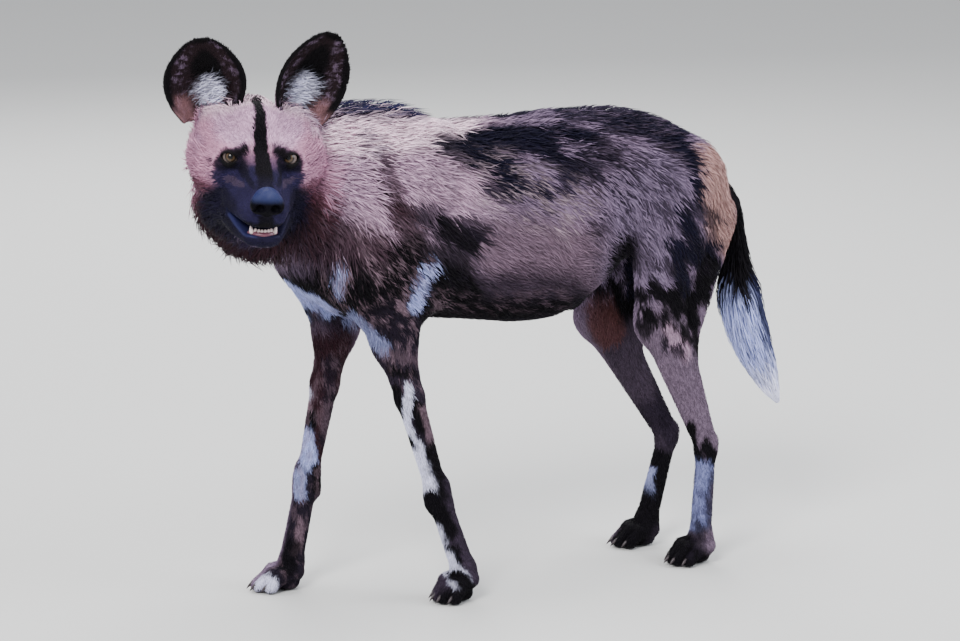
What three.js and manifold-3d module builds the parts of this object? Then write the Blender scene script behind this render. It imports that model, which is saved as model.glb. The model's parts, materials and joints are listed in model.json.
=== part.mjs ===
// A life-size standing African wild dog, in millimetres, with +Z up, its body facing -Y and +X on its left.
// The body is one smooth field of muscles and bones, out to the tips of the coat. The field is turned into
// closed meshes node by node, and plane cuts with a thin gap part the nodes from each other.
import * as THREE from 'three';
import { mergeVertices } from 'three/addons/utils/BufferGeometryUtils.js';
import Module from 'manifold-3d';

const wasm = await Module();
wasm.setup();

// Driving dimensions
const GAP = 0.3;
const FRAME_SHIFT = [-46.3, -7.3, 0];
const EYE_SPACING = 80;
const EYE_SEAT = [-9, 4];
const EYE_RADIUS = 11.5;
const EAR_HALF_WIDTH = 54;
const EAR_THICKNESS = 5;
const CLAW_LENGTH = 13;
const CLAW_CLEARANCE = 0.9;

// Joints of the skeleton, [x, y, z]. The left fore foot trails and the right one reaches forward.
const JOINTS = {
  withers: [0, -100, 655],
  neckMiddle: [2, -262, 592],
  neckEnd: [14, -364, 611],
  headOrigin: [90, -393, 672],
  tailRoot: [0, 398, 552],
};
const FORE_LEGS = {
  left: {
    blade: [42, -105, 644], shoulder: [66, -232, 500], elbow: [74, -178, 388], wrist: [81, -112, 160],
    knuckle: [84, -72, 45], heading: 10, reach: 0.8,
  },
  right: {
    blade: [-42, -112, 644], shoulder: [-66, -246, 505], elbow: [-75, -198, 378], wrist: [-84, -240, 162],
    knuckle: [-86, -266, 40], heading: -6, reach: 1,
  },
};
const HIND_LEGS = {
  left: {
    hip: [54, 306, 572], knee: [82, 252, 378], heel: [66, 344, 172], knuckle: [64, 337, 38],
    heading: 6, reach: 0.92,
  },
  right: {
    hip: [-54, 300, 572], knee: [-80, 242, 358], heel: [-62, 352, 162], knuckle: [-60, 316, 38],
    heading: -6, reach: 0.92,
  },
};

// Trunk outline along Y: [y, back height, belly height, half width].
const TRUNK = [
  [-300, 610, 492, 34],
  [-270, 668, 452, 62],
  [-225, 690, 422, 80],
  [-165, 695, 407, 90],
  [-95, 695, 402, 95],
  [-25, 693, 393, 99],
  [45, 692, 383, 104],
  [100, 695, 384, 105],
  [145, 694, 400, 100],
  [190, 692, 436, 92],
  [235, 686, 482, 84],
  [290, 668, 510, 79],
  [335, 642, 512, 68],
  [372, 604, 520, 48],
  [396, 566, 534, 24],
];

const clamp = (value, low, high) => Math.min(high, Math.max(low, value));
const mix = (a, b, t) => a + (b - a) * t;
const radians = THREE.MathUtils.degToRad;

// A smooth curve through [t, value] rows, held level past both ends.
function curve(rows) {
  const slope = (i) => {
    const before = rows[Math.max(i - 1, 0)];
    const after = rows[Math.min(i + 1, rows.length - 1)];
    return (after[1] - before[1]) / (after[0] - before[0]);
  };
  return (t) => {
    const x = clamp(t, rows[0][0], rows[rows.length - 1][0]);
    let i = 0;
    while (i < rows.length - 2 && x > rows[i + 1][0]) i++;
    const [t0, v0] = rows[i];
    const [t1, v1] = rows[i + 1];
    const span = t1 - t0;
    const s = (x - t0) / span;
    const rise = s * s * (3 - 2 * s);
    return mix(v0, v1, rise) + span * s * (1 - s) * (slope(i) * (1 - s) - slope(i + 1) * s);
  };
}

// Fields: each takes (x, y, z) and gives a distance, negative inside.

// A muscle or bone: two balls and the cone round them, narrowed along X by the factor flat.
function limb(a, b, ra, rb, flat = 1) {
  const ab = [(b[0] - a[0]) / flat, b[1] - a[1], b[2] - a[2]];
  const length2 = ab[0] * ab[0] + ab[1] * ab[1] + ab[2] * ab[2];
  return (x, y, z) => {
    const px = (x - a[0]) / flat;
    const py = y - a[1];
    const pz = z - a[2];
    const t = clamp((px * ab[0] + py * ab[1] + pz * ab[2]) / length2, 0, 1);
    return Math.hypot(px - ab[0] * t, py - ab[1] * t, pz - ab[2] * t) - mix(ra, rb, t);
  };
}

function ellipsoid(centre, radii) {
  return (x, y, z) => {
    const px = (x - centre[0]) / radii[0];
    const py = (y - centre[1]) / radii[1];
    const pz = (z - centre[2]) / radii[2];
    const k0 = Math.hypot(px, py, pz);
    const k1 = Math.hypot(px / radii[0], py / radii[1], pz / radii[2]);
    return k1 > 1e-9 ? (k0 * (k0 - 1)) / k1 : -Math.min(...radii);
  };
}

// Joins fields with a fillet about as wide as the blend.
function joined(blend, ...fields) {
  return (x, y, z) => {
    let d = fields[0](x, y, z);
    for (let i = 1; i < fields.length; i++) {
      const e = fields[i](x, y, z);
      const h = Math.max(blend - Math.abs(d - e), 0) / blend;
      d = Math.min(d, e) - (h * h * blend) / 4;
    }
    return d;
  };
}

// The same field placed by a matrix that turns and moves it.
function placed(field, matrix) {
  const e = matrix.clone().invert().elements;
  return (x, y, z) =>
    field(
      e[0] * x + e[4] * y + e[8] * z + e[12],
      e[1] * x + e[5] * y + e[9] * z + e[13],
      e[2] * x + e[6] * y + e[10] * z + e[14],
    );
}

// Trunk: an egg-shaped section whose back, belly and sides follow the outline table.
function trunkField() {
  const back = curve(TRUNK.map((row) => [row[0], row[1]]));
  const belly = curve(TRUNK.map((row) => [row[0], row[2]]));
  const side = curve(TRUNK.map((row) => [row[0], row[3]]));
  const front = TRUNK[0][0];
  const rear = TRUNK[TRUNK.length - 1][0];
  const SQUARENESS = 2.15;
  const NARROW_BACK = 0.14;
  return (x, y, z) => {
    const yc = clamp(y, front, rear);
    const middle = (back(yc) + belly(yc)) / 2;
    const high = (back(yc) - belly(yc)) / 2;
    const up = (z - middle) / high;
    const wide = side(yc) * (1 - NARROW_BACK * clamp(up, -1, 1));
    const q = (Math.abs(x / wide) ** SQUARENESS + Math.abs(up) ** SQUARENESS) ** (1 / SQUARENESS);
    const across = (q - 1) * Math.min(wide, high);
    const beyond = y - yc;
    return beyond === 0 ? across : Math.hypot(Math.max(across, 0), beyond);
  };
}

// Shoulder and fore leg down to the knuckles.
function foreLegField({ blade, shoulder, elbow, wrist, knuckle }) {
  const shoulderMass = joined(
    30,
    limb(blade, shoulder, 46, 46, 0.72),
    limb(shoulder, elbow, 46, 26, 0.78),
    limb([blade[0], blade[1] + 40, blade[2] - 80], elbow, 40, 22, 0.7),
  );
  const elbowPoint = [elbow[0], elbow[1] + 16, elbow[2] + 10];
  const belowElbow = [mix(elbow[0], wrist[0], 0.36), mix(elbow[1], wrist[1], 0.36), mix(elbow[2], wrist[2], 0.36)];
  const forearm = joined(
    12,
    limb(elbow, belowElbow, 26, 20, 0.9),
    limb(belowElbow, wrist, 20, 15.5, 0.95),
    limb(elbowPoint, belowElbow, 13, 12),
    limb([wrist[0], wrist[1], wrist[2] + 12], [wrist[0], wrist[1] - 1, wrist[2] - 12], 18, 18),
    limb([wrist[0], wrist[1] + 11, wrist[2] - 16], [wrist[0], wrist[1] + 13, wrist[2] - 22], 9, 8),
    limb(wrist, knuckle, 16.5, 17.5, 0.95),
  );
  return { shoulderMass, forearm };
}

// Haunch and hind leg down to the knuckles.
function hindLegField({ hip, knee, heel, knuckle }) {
  const side = Math.sign(hip[0]);
  const seat = [side * 42, 362, 512];
  const calf = [knee[0] * 0.92, knee[1] + 42, knee[2] - 50];
  const heelPoint = [heel[0], heel[1] + 9, heel[2] + 12];
  const haunch = joined(
    32,
    limb(hip, knee, 72, 32, 0.62),
    limb(seat, calf, 42, 21, 0.66),
    limb([side * 50, 262, 600], knee, 42, 28, 0.6),
  );
  const shank = joined(
    12,
    limb(knee, heel, 31, 15, 0.8),
    limb(calf, heelPoint, 21, 8, 0.8),
    limb(heelPoint, heel, 9, 14),
    limb(heel, knuckle, 15.5, 16.5, 0.92),
  );
  return { haunch, shank };
}

// Paw in its own frame: toes along -Y, knuckles over the origin. A low reach stands on the toe tips.
const TOES = [-1.5, -0.5, 0.5, 1.5];
const TOE_SPACING = 13.5;
function toeLine(place, reach, height) {
  const inner = Math.abs(place) < 1;
  const length = (inner ? 50 : 38) * reach;
  const root = [place * 9.5, 2, height * 0.72];
  const bend = [place * 12.5, -length * 0.56, Math.max(25, height * 0.6)];
  const tip = [place * TOE_SPACING, -length, 9.5];
  return { root, bend, tip };
}
function pawField(reach, height) {
  const toes = TOES.map((place) => {
    const { root, bend, tip } = toeLine(place, reach, height);
    return joined(6, limb(root, bend, 13.5, 11), limb(bend, tip, 11, 10));
  });
  const pad = ellipsoid([0, -6, 11], [20, 18, 13]);
  const palm = limb([0, 1, height], [0, -5, 20], 17.5, 15);
  return joined(9, palm, pad, joined(3.5, ...toes));
}
function pawFrame(leg) {
  const { knuckle, heading } = leg;
  return new THREE.Matrix4().makeRotationZ(radians(heading)).setPosition(knuckle[0], knuckle[1], 0);
}

// Head frame: the origin is midway between the eyes, -Y is the way the face looks and +X is its left.
const HEAD_TURN = 71;
const HEAD_NOD = -4;
const HEAD_TILT = 2.8;
const headFrame = new THREE.Matrix4()
  .makeRotationZ(radians(HEAD_TURN))
  .multiply(new THREE.Matrix4().makeRotationX(radians(-HEAD_NOD)))
  .multiply(new THREE.Matrix4().makeRotationY(radians(HEAD_TILT)))
  .setPosition(...JOINTS.headOrigin);
const NOSE = [0, -116, -33];
const MOUTH_CORNER = [44, -26, -68];
const LIP_HEIGHT = -80;
const GUM_HEIGHT = -84;

function headField() {
  const bothSides = (make) => [make(1), make(-1)];
  const skull = joined(
    26,
    ellipsoid([0, 60, 12], [74, 66, 58]),
    limb([0, 22, 34], [0, 88, 44], 26, 26),
    ...bothSides((s) => ellipsoid([s * 56, 40, -14], [38, 52, 54])),
    ...bothSides((s) => limb([s * 58, 66, 34], [s * 66, 52, -4], 27, 27)),
  );
  const muzzle = joined(
    16,
    limb([0, -8, -36], [0, -98, -48], 38, 24, 1.1),
    limb([0, 4, 4], [0, -104, -25], 22, 15, 1.3),
    ...bothSides((s) => limb([s * 28, -18, -50], [s * 14, -94, -56], 22, 14)),
  );
  const brows = joined(10, ...bothSides((s) => limb([s * 27, -8, 19], [s * 47, 10, 14], 13, 13)));
  const jaw = joined(
    18,
    limb([0, 30, -92], [0, -82, -91], 30, 14, 1.5),
    ...bothSides((s) => limb([s * 38, 22, -76], [s * 14, -82, -86], 24, 11)),
  );
  const throat = ellipsoid([0, 60, -70], [76, 58, 66]);
  return { upper: joined(20, skull, muzzle, brows), jaw: joined(20, jaw, throat) };
}

// Neck: from the chest to a ruff that faces the way the head looks.
function neckField() {
  const { withers, neckMiddle, neckEnd } = JOINTS;
  const chest = ellipsoid([0, -195, 560], [82, 90, 138]);
  const middle = ellipsoid(neckMiddle, [80, 76, 116]);
  const nape = limb([withers[0], withers[1] - 60, 655], [neckEnd[0], neckEnd[1] + 20, 668], 44, 40, 0.9);
  const ruff = placed(
    ellipsoid([0, 0, 0], [91, 58, 110]),
    new THREE.Matrix4().makeRotationZ(radians(HEAD_TURN - 6)).setPosition(...neckEnd),
  );
  return joined(45, chest, middle, nape, ruff);
}

// Tail: a brush that hangs from the rump and sweeps back at its tip. [x, y, z, radius]
const TAIL = [
  [0, 384, 562, 22],
  [4, 418, 524, 16],
  [6, 427, 470, 18],
  [7, 428, 430, 26],
  [8, 432, 392, 36],
  [9, 442, 352, 35],
  [9, 456, 312, 31],
  [9, 474, 272, 23],
  [8, 490, 240, 14],
  [6, 505, 214, 3],
];
function tailField() {
  const lengths = TAIL.slice(1).map((b, i) => limb(TAIL[i].slice(0, 3), b.slice(0, 3), TAIL[i][3], b[3], 0.85));
  return joined(14, ...lengths);
}

const fore = { left: foreLegField(FORE_LEGS.left), right: foreLegField(FORE_LEGS.right) };
const hind = { left: hindLegField(HIND_LEGS.left), right: hindLegField(HIND_LEGS.right) };
const headParts = headField();
const headWorld = placed(joined(16, headParts.upper, headParts.jaw), headFrame);
const neckWorld = neckField();
const tailWorld = tailField();
const groin = limb([0, 150, 404], [0, 205, 440], 13, 9);
const trunkWorld = joined(26, trunkField(), groin);
const shoulders = joined(40, trunkWorld, fore.left.shoulderMass, fore.right.shoulderMass);
const haunches = joined(30, hind.left.haunch, hind.right.haunch);
const torso = joined(34, shoulders, haunches, neckWorld);
const bodyField = joined(22, torso, fore.left.forearm, fore.right.forearm, hind.left.shank, hind.right.shank);
const withHead = joined(24, bodyField, headWorld);
const withTail = joined(20, bodyField, tailWorld);

// Turns a field into a closed solid, by one vertex in each grid cell that its surface crosses.
// The frame places the grid, and the box and cell sizes are in the frame.
function solidOfField(field, frame, low, high, cell) {
  const count = [0, 1, 2].map((k) => Math.ceil((high[k] - low[k]) / cell[k]));
  const [nx, ny, nz] = count;
  const at = (i, j, k) => (i * (ny + 1) + j) * (nz + 1) + k;
  const e = frame.elements;
  const world = (p) => [
    e[0] * p[0] + e[4] * p[1] + e[8] * p[2] + e[12],
    e[1] * p[0] + e[5] * p[1] + e[9] * p[2] + e[13],
    e[2] * p[0] + e[6] * p[1] + e[10] * p[2] + e[14],
  ];
  const point = (i, j, k) => [low[0] + i * cell[0], low[1] + j * cell[1], low[2] + k * cell[2]];
  const value = new Float64Array((nx + 1) * (ny + 1) * (nz + 1));
  for (let i = 0; i <= nx; i++)
    for (let j = 0; j <= ny; j++)
      for (let k = 0; k <= nz; k++) {
        const rim = i === 0 || j === 0 || k === 0 || i === nx || j === ny || k === nz;
        const d = field(...world(point(i, j, k)));
        value[at(i, j, k)] = rim ? Math.max(d, 1) : d || 1e-6;
      }
  fillPinches(value, at, count);

  const vertices = [];
  const cellVertex = new Map();
  const corners = [];
  for (let c = 0; c < 8; c++) corners.push([c & 1, (c >> 1) & 1, (c >> 2) & 1]);
  for (let i = 0; i < nx; i++)
    for (let j = 0; j < ny; j++)
      for (let k = 0; k < nz; k++) {
        const sum = [0, 0, 0];
        let crossings = 0;
        for (let c = 0; c < 8; c++)
          for (let axis = 0; axis < 3; axis++) {
            if (corners[c][axis]) continue;
            const a = [i + corners[c][0], j + corners[c][1], k + corners[c][2]];
            const b = a.slice();
            b[axis]++;
            const va = value[at(...a)];
            const vb = value[at(...b)];
            if (va < 0 === vb < 0) continue;
            const t = va / (va - vb);
            const pa = point(...a);
            pa[axis] += t * cell[axis];
            for (let m = 0; m < 3; m++) sum[m] += pa[m];
            crossings++;
          }
        if (!crossings) continue;
        cellVertex.set(at(i, j, k), vertices.length / 3);
        vertices.push(...settled(field, world(sum.map((s) => s / crossings)), Math.min(...cell) * 0.45));
      }

  const triangles = [];
  const quad = (a, b, c, d, flip) => {
    const span = (p, q) => Math.hypot(...[0, 1, 2].map((m) => vertices[3 * p + m] - vertices[3 * q + m]));
    const ring = flip ? [a, d, c, b] : [a, b, c, d];
    const [p, q, r, s] = ring;
    if (span(p, r) <= span(q, s)) triangles.push(p, q, r, p, r, s);
    else triangles.push(q, r, s, q, s, p);
  };
  for (let i = 0; i < nx; i++)
    for (let j = 0; j < ny; j++)
      for (let k = 0; k < nz; k++) {
        const inside = value[at(i, j, k)] < 0;
        const v = (di, dj, dk) => cellVertex.get(at(i + di, j + dj, k + dk));
        if (inside !== value[at(i + 1, j, k)] < 0)
          quad(v(0, -1, -1), v(0, 0, -1), v(0, 0, 0), v(0, -1, 0), !inside);
        if (inside !== value[at(i, j + 1, k)] < 0)
          quad(v(-1, 0, -1), v(-1, 0, 0), v(0, 0, 0), v(0, 0, -1), !inside);
        if (inside !== value[at(i, j, k + 1)] < 0)
          quad(v(-1, -1, 0), v(0, -1, 0), v(0, 0, 0), v(-1, 0, 0), !inside);
      }
  return solidOfTriangles(vertices, triangles);
}

// Moves a vertex onto the field's surface, no further than the reach.
function settled(field, start, reach) {
  const p = start.slice();
  const STEP = 0.5;
  const ROUNDS = 4;
  for (let round = 0; round < ROUNDS; round++) {
    const d = field(...p);
    const slope = [0, 1, 2].map((m) => {
      const ahead = p.slice();
      const behind = p.slice();
      ahead[m] += STEP;
      behind[m] -= STEP;
      return (field(...ahead) - field(...behind)) / (2 * STEP);
    });
    const steep = slope[0] ** 2 + slope[1] ** 2 + slope[2] ** 2;
    if (steep < 0.01) break;
    for (let m = 0; m < 3; m++) p[m] -= (d * slope[m]) / steep;
  }
  const moved = Math.hypot(p[0] - start[0], p[1] - start[1], p[2] - start[2]);
  const share = moved > reach ? reach / moved : 1;
  return [0, 1, 2].map((m) => mix(start[m], p[m], share));
}

// Fills a corner wherever a cell's inside or outside corners only touch at a point or an edge,
// so that the surface never pinches.
function fillPinches(value, at, [nx, ny, nz]) {
  const JUST_INSIDE = -0.01;
  const groups = (mask) => {
    let left = mask;
    let found = 0;
    while (left) {
      let open = left & -left;
      left &= ~open;
      for (let grew = true; grew; ) {
        grew = false;
        for (let c = 0; c < 8; c++)
          if (left & (1 << c) && [1, 2, 4].some((step) => open & (1 << (c ^ step)))) {
            open |= 1 << c;
            left &= ~(1 << c);
            grew = true;
          }
      }
      found++;
    }
    return found;
  };
  // A face whose inside corners lie across from each other pinches too.
  const crossed = (mask) =>
    [[0, 1, 2], [4, 1, 2], [0, 1, 4], [2, 1, 4], [0, 2, 4], [1, 2, 4]].some(([c, u, v]) => {
      const inside = [c, c ^ u, c ^ u ^ v, c ^ v].map((corner) => (mask >> corner) & 1);
      return inside[0] === inside[2] && inside[1] === inside[3] && inside[0] !== inside[1];
    });
  const pinched = Array.from(
    { length: 256 },
    (_, mask) => groups(mask) > 1 || groups(~mask & 255) > 1 || crossed(mask),
  );
  for (let changed = true; changed; ) {
    changed = false;
    for (let i = 0; i < nx; i++)
      for (let j = 0; j < ny; j++)
        for (let k = 0; k < nz; k++) {
          let mask = 0;
          const corner = (c) => at(i + (c & 1), j + ((c >> 1) & 1), k + ((c >> 2) & 1));
          for (let c = 0; c < 8; c++) if (value[corner(c)] < 0) mask |= 1 << c;
          if (!pinched[mask]) continue;
          const outside = [0, 1, 2, 3, 4, 5, 6, 7].filter((c) => !(mask & (1 << c)));
          const nearest = outside.reduce((a, b) => (value[corner(a)] <= value[corner(b)] ? a : b));
          value[corner(nearest)] = JUST_INSIDE;
          changed = true;
        }
  }
}

// Solids and three.js geometry
function solidOfTriangles(vertices, triangles) {
  return new wasm.Manifold(
    new wasm.Mesh({
      numProp: 3,
      vertProperties: new Float32Array(vertices),
      triVerts: new Uint32Array(triangles),
    }),
  );
}

function solidOfGeometry(geometry, matrix = new THREE.Matrix4()) {
  const bare = geometry.index ? geometry.toNonIndexed() : geometry.clone();
  const positions = new THREE.BufferGeometry().setAttribute('position', bare.getAttribute('position'));
  const merged = mergeVertices(positions.applyMatrix4(matrix), 1e-3);
  return solidOfTriangles(merged.attributes.position.array, merged.index.array);
}

function geometryOfSolid(solid) {
  const mesh = solid.getMesh();
  const positions = new Float32Array(mesh.numVert * 3);
  for (let i = 0; i < mesh.numVert; i++)
    positions.set(mesh.vertProperties.subarray(i * mesh.numProp, i * mesh.numProp + 3), i * 3);
  const geometry = new THREE.BufferGeometry();
  geometry.setAttribute('position', new THREE.BufferAttribute(positions, 3));
  geometry.setIndex(new THREE.BufferAttribute(new Uint32Array(mesh.triVerts), 1));
  geometry.computeVertexNormals();
  return geometry;
}

const biggest = (solid) =>
  solid.decompose().reduce((a, b) => (a.volume() >= b.volume() ? a : b));

// The part of a solid on the side of a plane that its normal points to, half a gap away from the plane.
function side(solid, point, normal, sign = 1) {
  const n = new THREE.Vector3(...normal).normalize().multiplyScalar(sign);
  return solid.trimByPlane(n.toArray(), n.dot(new THREE.Vector3(...point)) + GAP / 2);
}

function block(low, high) {
  const size = [0, 1, 2].map((k) => high[k] - low[k]);
  const centre = [0, 1, 2].map((k) => (high[k] + low[k]) / 2);
  return solidOfGeometry(new THREE.BoxGeometry(...size).translate(...centre));
}

const WORLD = new THREE.Matrix4();
const onFloor = (solid) => solid.trimByPlane([0, 0, 1], 0);

// A plane given in the head's frame, as [point, normal] in the animal's.
function inHead([point, normal]) {
  return [
    new THREE.Vector3(...point).applyMatrix4(headFrame).toArray(),
    new THREE.Vector3(...normal).transformDirection(headFrame).toArray(),
  ];
}

// Where the cuts go: [point, normal]
const NECK_CUT = [[0, -232, 580], [0.05, -1, 0.12]];
const HEAD_CUT = [[26, -289, 710], [0.5, -0.84, 0.2]];
const TAIL_CUT = [[0, 408, 552], [0, 0.86, -0.5]];
const FORE_CUT_HEIGHT = 402;
const HIND_CUT_HEIGHT = 480;
const HIND_CUT_FRONT = 208;

// Trunk
function trunkSolid() {
  const MARGIN = GAP / 2;
  let solid = solidOfField(withTail, WORLD, [-170, -330, 350], [170, 440, 740], [29, 54, 27]);
  solid = side(solid, ...NECK_CUT, -1);
  solid = side(solid, ...TAIL_CUT, -1).subtract(tailSolid(TAIL_CLEARANCE));
  solid = solid.subtract(block([-200, -400, 0], [200, -108, FORE_CUT_HEIGHT + MARGIN]));
  solid = solid.subtract(block([-200, HIND_CUT_FRONT - MARGIN, 0], [200, 520, HIND_CUT_HEIGHT + MARGIN]));
  return biggest(solid);
}

// Tail
const TAIL_CLEARANCE = 1;
function tailSolid(grow = 0) {
  const field = (x, y, z) => tailWorld(x, y, z) - grow;
  return solidOfField(field, WORLD, [-60, 350, 180], [76, 540, 610], [17.5, 19, 26]);
}

// Neck, and the head's shell before its jaw, eyes and nose are parted
function neckSolid() {
  let solid = solidOfField(withHead, WORLD, [-140, -500, 440], [170, -190, 760], [26, 26, 26]);
  solid = side(solid, ...NECK_CUT, 1);
  return biggest(side(solid, ...HEAD_CUT, -1));
}

const HEAD_LOW = [-165, -150, -200];
const HEAD_HIGH = [150, 185, 110];
const HEAD_CELL = [15.8, 16.6, 15.8];
function headAndNape(grow = 0) {
  const field = (x, y, z) => withHead(x, y, z) - grow;
  return solidOfField(field, headFrame, HEAD_LOW, HEAD_HIGH, HEAD_CELL);
}

// The mouth: a wedge that opens from its corners forward, between the lips.
function mouthGap() {
  const [wide, back, height] = MOUTH_CORNER;
  const profile = new THREE.Shape();
  profile.moveTo(back, height + 1.5);
  profile.lineTo(-80, -71);
  profile.lineTo(-140, -70);
  profile.lineTo(-140, -90);
  profile.lineTo(-80, -87.5);
  profile.closePath();
  const prism = new THREE.ExtrudeGeometry(profile, { depth: 2 * wide + 20, bevelEnabled: false });
  // The shape's x runs along the head's Y and its y along Z, so the prism is turned to run across the head.
  prism.applyMatrix4(new THREE.Matrix4().makeBasis(
    new THREE.Vector3(0, 1, 0), new THREE.Vector3(0, 0, 1), new THREE.Vector3(1, 0, 0),
  ));
  prism.translate(-wide - 10, 0, 0);
  return solidOfGeometry(prism, headFrame);
}

// The part of a head shell in front of the mouth's corners and below the lips, widened by the margin.
function jawPart(shell, margin) {
  const front = inHead([[0, MOUTH_CORNER[1] + 4 + margin, 0], [0, -1, 0]]);
  const under = inHead([[0, 0, LIP_HEIGHT + margin], [0, 0, -1]]);
  return biggest(side(side(shell, ...front), ...under));
}

// Eyes
function eyeSolid(sideSign, grow = 0) {
  const ball = new THREE.IcosahedronGeometry(EYE_RADIUS + grow, 1);
  ball.translate((sideSign * EYE_SPACING) / 2, ...EYE_SEAT);
  return solidOfGeometry(ball, headFrame);
}

// Nose pad
function noseSolid(grow = 0) {
  const pad = new THREE.SphereGeometry(1, 12, 8);
  pad.scale(22.5 + grow, 15 + grow, 17 + grow);
  pad.translate(...NOSE);
  return solidOfGeometry(pad, headFrame);
}

// Ears: thin cupped shells. A is along the ear, N is the way its opening faces.
const EARS = {
  left: { root: [57, 70, 40], along: [0.28, 0.12, 0.95], faces: [0.44, -0.9, 0], length: 132 },
  right: { root: [-66, 70, 38], along: [-0.1, 0.1, 0.98], faces: [-0.1, -1, 0], length: 116 },
};
function earShell({ root, along, faces, length }) {
  const a = new THREE.Vector3(...along).normalize();
  const across = a.clone().cross(new THREE.Vector3(...faces)).normalize();
  const n = across.clone().cross(a).normalize();
  const half = curve([[0, 30], [0.16, 44], [0.4, EAR_HALF_WIDTH], [0.62, 51], [0.82, 36], [0.94, 20], [1, 8]]);
  const bend = curve([[0, 1.5], [0.3, 1.2], [0.6, 0.85], [1, 0.5]]);
  const surface = (s, t, back) => {
    const angle = bend(s);
    const radius = half(s) / Math.sin(Math.min(angle, Math.PI / 2)) + back;
    const turn = t * angle;
    const cup = radius * Math.cos(turn) - (radius - back) * Math.cos(angle);
    const tipBend = 10 * s * s;
    return new THREE.Vector3(...root)
      .addScaledVector(a, length * s)
      .addScaledVector(across, radius * Math.sin(turn))
      .addScaledVector(n, -cup + 14 + tipBend);
  };
  return closedSheet((s, t, outer) => surface(s, t, outer ? EAR_THICKNESS : 0), 7, 6);
}

// A closed thin solid between two faces of a sheet: face(s, t, outer) with s in 0..1 and t in -1..1.
function closedSheet(face, ns, nt) {
  const vertices = [];
  const triangles = [];
  const index = (s, t, outer) => (outer ? (ns + 1) * (nt + 1) : 0) + s * (nt + 1) + t;
  for (const outer of [false, true])
    for (let s = 0; s <= ns; s++)
      for (let t = 0; t <= nt; t++) vertices.push(...face(s / ns, (2 * t) / nt - 1, outer).toArray());
  const quad = (a, b, c, d) => triangles.push(a, b, c, a, c, d);
  for (let s = 0; s < ns; s++)
    for (let t = 0; t < nt; t++) {
      quad(index(s, t), index(s, t + 1), index(s + 1, t + 1), index(s + 1, t));
      quad(index(s, t, 1), index(s + 1, t, 1), index(s + 1, t + 1, 1), index(s, t + 1, 1));
    }
  for (let s = 0; s < ns; s++) {
    quad(index(s, 0), index(s + 1, 0), index(s + 1, 0, 1), index(s, 0, 1));
    quad(index(s, nt, 1), index(s + 1, nt, 1), index(s + 1, nt), index(s, nt));
  }
  for (let t = 0; t < nt; t++) {
    quad(index(0, t, 1), index(0, t + 1, 1), index(0, t + 1), index(0, t));
    quad(index(ns, t), index(ns, t + 1), index(ns, t + 1, 1), index(ns, t, 1));
  }
  const geometry = new THREE.BufferGeometry();
  geometry.setAttribute('position', new THREE.BufferAttribute(new Float32Array(vertices), 3));
  geometry.setIndex(triangles);
  const solid = solidOfGeometry(geometry, headFrame);
  if (solid.volume() > 0) return solid;
  for (let i = 0; i < triangles.length; i += 3)
    [triangles[i + 1], triangles[i + 2]] = [triangles[i + 2], triangles[i + 1]];
  geometry.setIndex(triangles);
  return solidOfGeometry(geometry, headFrame);
}

// Lower teeth: a gum with six cutting teeth between two canines, on the front of the jaw.
function teethSolid() {
  const bar = new THREE.CapsuleGeometry(5, 30, 2, 6).rotateZ(Math.PI / 2).translate(0, -85, GUM_HEIGHT);
  let solid = solidOfGeometry(bar, headFrame);
  const tooth = (x, y, radius, height) => {
    const cone = new THREE.ConeGeometry(radius, height, 4).rotateX(Math.PI / 2);
    return solidOfGeometry(cone.translate(x, y, GUM_HEIGHT + height / 2), headFrame);
  };
  for (let i = 0; i < 6; i++) solid = solid.add(tooth((i - 2.5) * 4.6, -89, 2.9, 9));
  for (const s of [-1, 1]) solid = solid.add(tooth(s * 16, -86, 3.8, 12.5));
  return solid;
}

// Limbs below the trunk, cut square to their length into upper leg, lower leg and paw
function legSolids(leg, isFore) {
  const { knuckle } = leg;
  const middle = isFore ? leg.wrist : leg.heel;
  const centreX = isFore ? leg.elbow[0] : leg.knee[0];
  const inner = 4;
  const [lowX, highX] = centreX > 0 ? [inner, 175] : [-175, -inner];
  const ys = isFore
    ? [leg.elbow[1] - 75, leg.elbow[1] + 75, knuckle[1] - 30, knuckle[1] + 40]
    : [HIND_CUT_FRONT - 30, 450, knuckle[1] - 30, knuckle[1] + 40];
  const low = [lowX, Math.min(...ys), 20];
  const high = [highX, Math.max(...ys), (isFore ? FORE_CUT_HEIGHT : HIND_CUT_HEIGHT) + 40];
  const cell = isFore ? [12, 15, 38] : [16, 23, 33];
  const top = isFore ? FORE_CUT_HEIGHT : HIND_CUT_HEIGHT;
  let whole = solidOfField(bodyField, WORLD, low, high, cell);
  whole = side(whole, [0, 0, top], [0, 0, -1]);
  if (!isFore) whole = side(whole, [0, HIND_CUT_FRONT, 0], [0, 1, 0]);
  whole = side(whole, [Math.sign(centreX) * inner, 0, 0], [Math.sign(centreX), 0, 0]);
  whole = biggest(whole);
  const down = new THREE.Vector3(...knuckle).sub(new THREE.Vector3(...middle)).normalize().toArray();
  const pawPoint = [0, 1, 2].map((k) => mix(middle[k], knuckle[k], isFore ? 0.82 : 0.85));
  const middleNormal = isFore ? down : [0, 0, -1];
  const clear = isFore ? whole : whole.subtract(tailSolid(TAIL_CLEARANCE));
  const upper = biggest(side(clear, middle, middleNormal, -1));
  const lower = biggest(side(side(whole, middle, middleNormal, 1), pawPoint, down, -1));
  const frame = pawFrame(leg);
  const pawWorld = joined(10, placed(pawField(leg.reach, knuckle[2]), frame), bodyField);
  const pawShell = (grow) => {
    const field = (x, y, z) => pawWorld(x, y, z) - grow;
    return solidOfField(field, frame, [-44, -78, -14], [44, 44, 84], [7.4, 12.6, 11.4]);
  };
  const paw = biggest(onFloor(side(pawShell(0), pawPoint, down, 1)));
  return { upper, lower, paw, pawRoom: pawShell(CLAW_CLEARANCE) };
}

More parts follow.
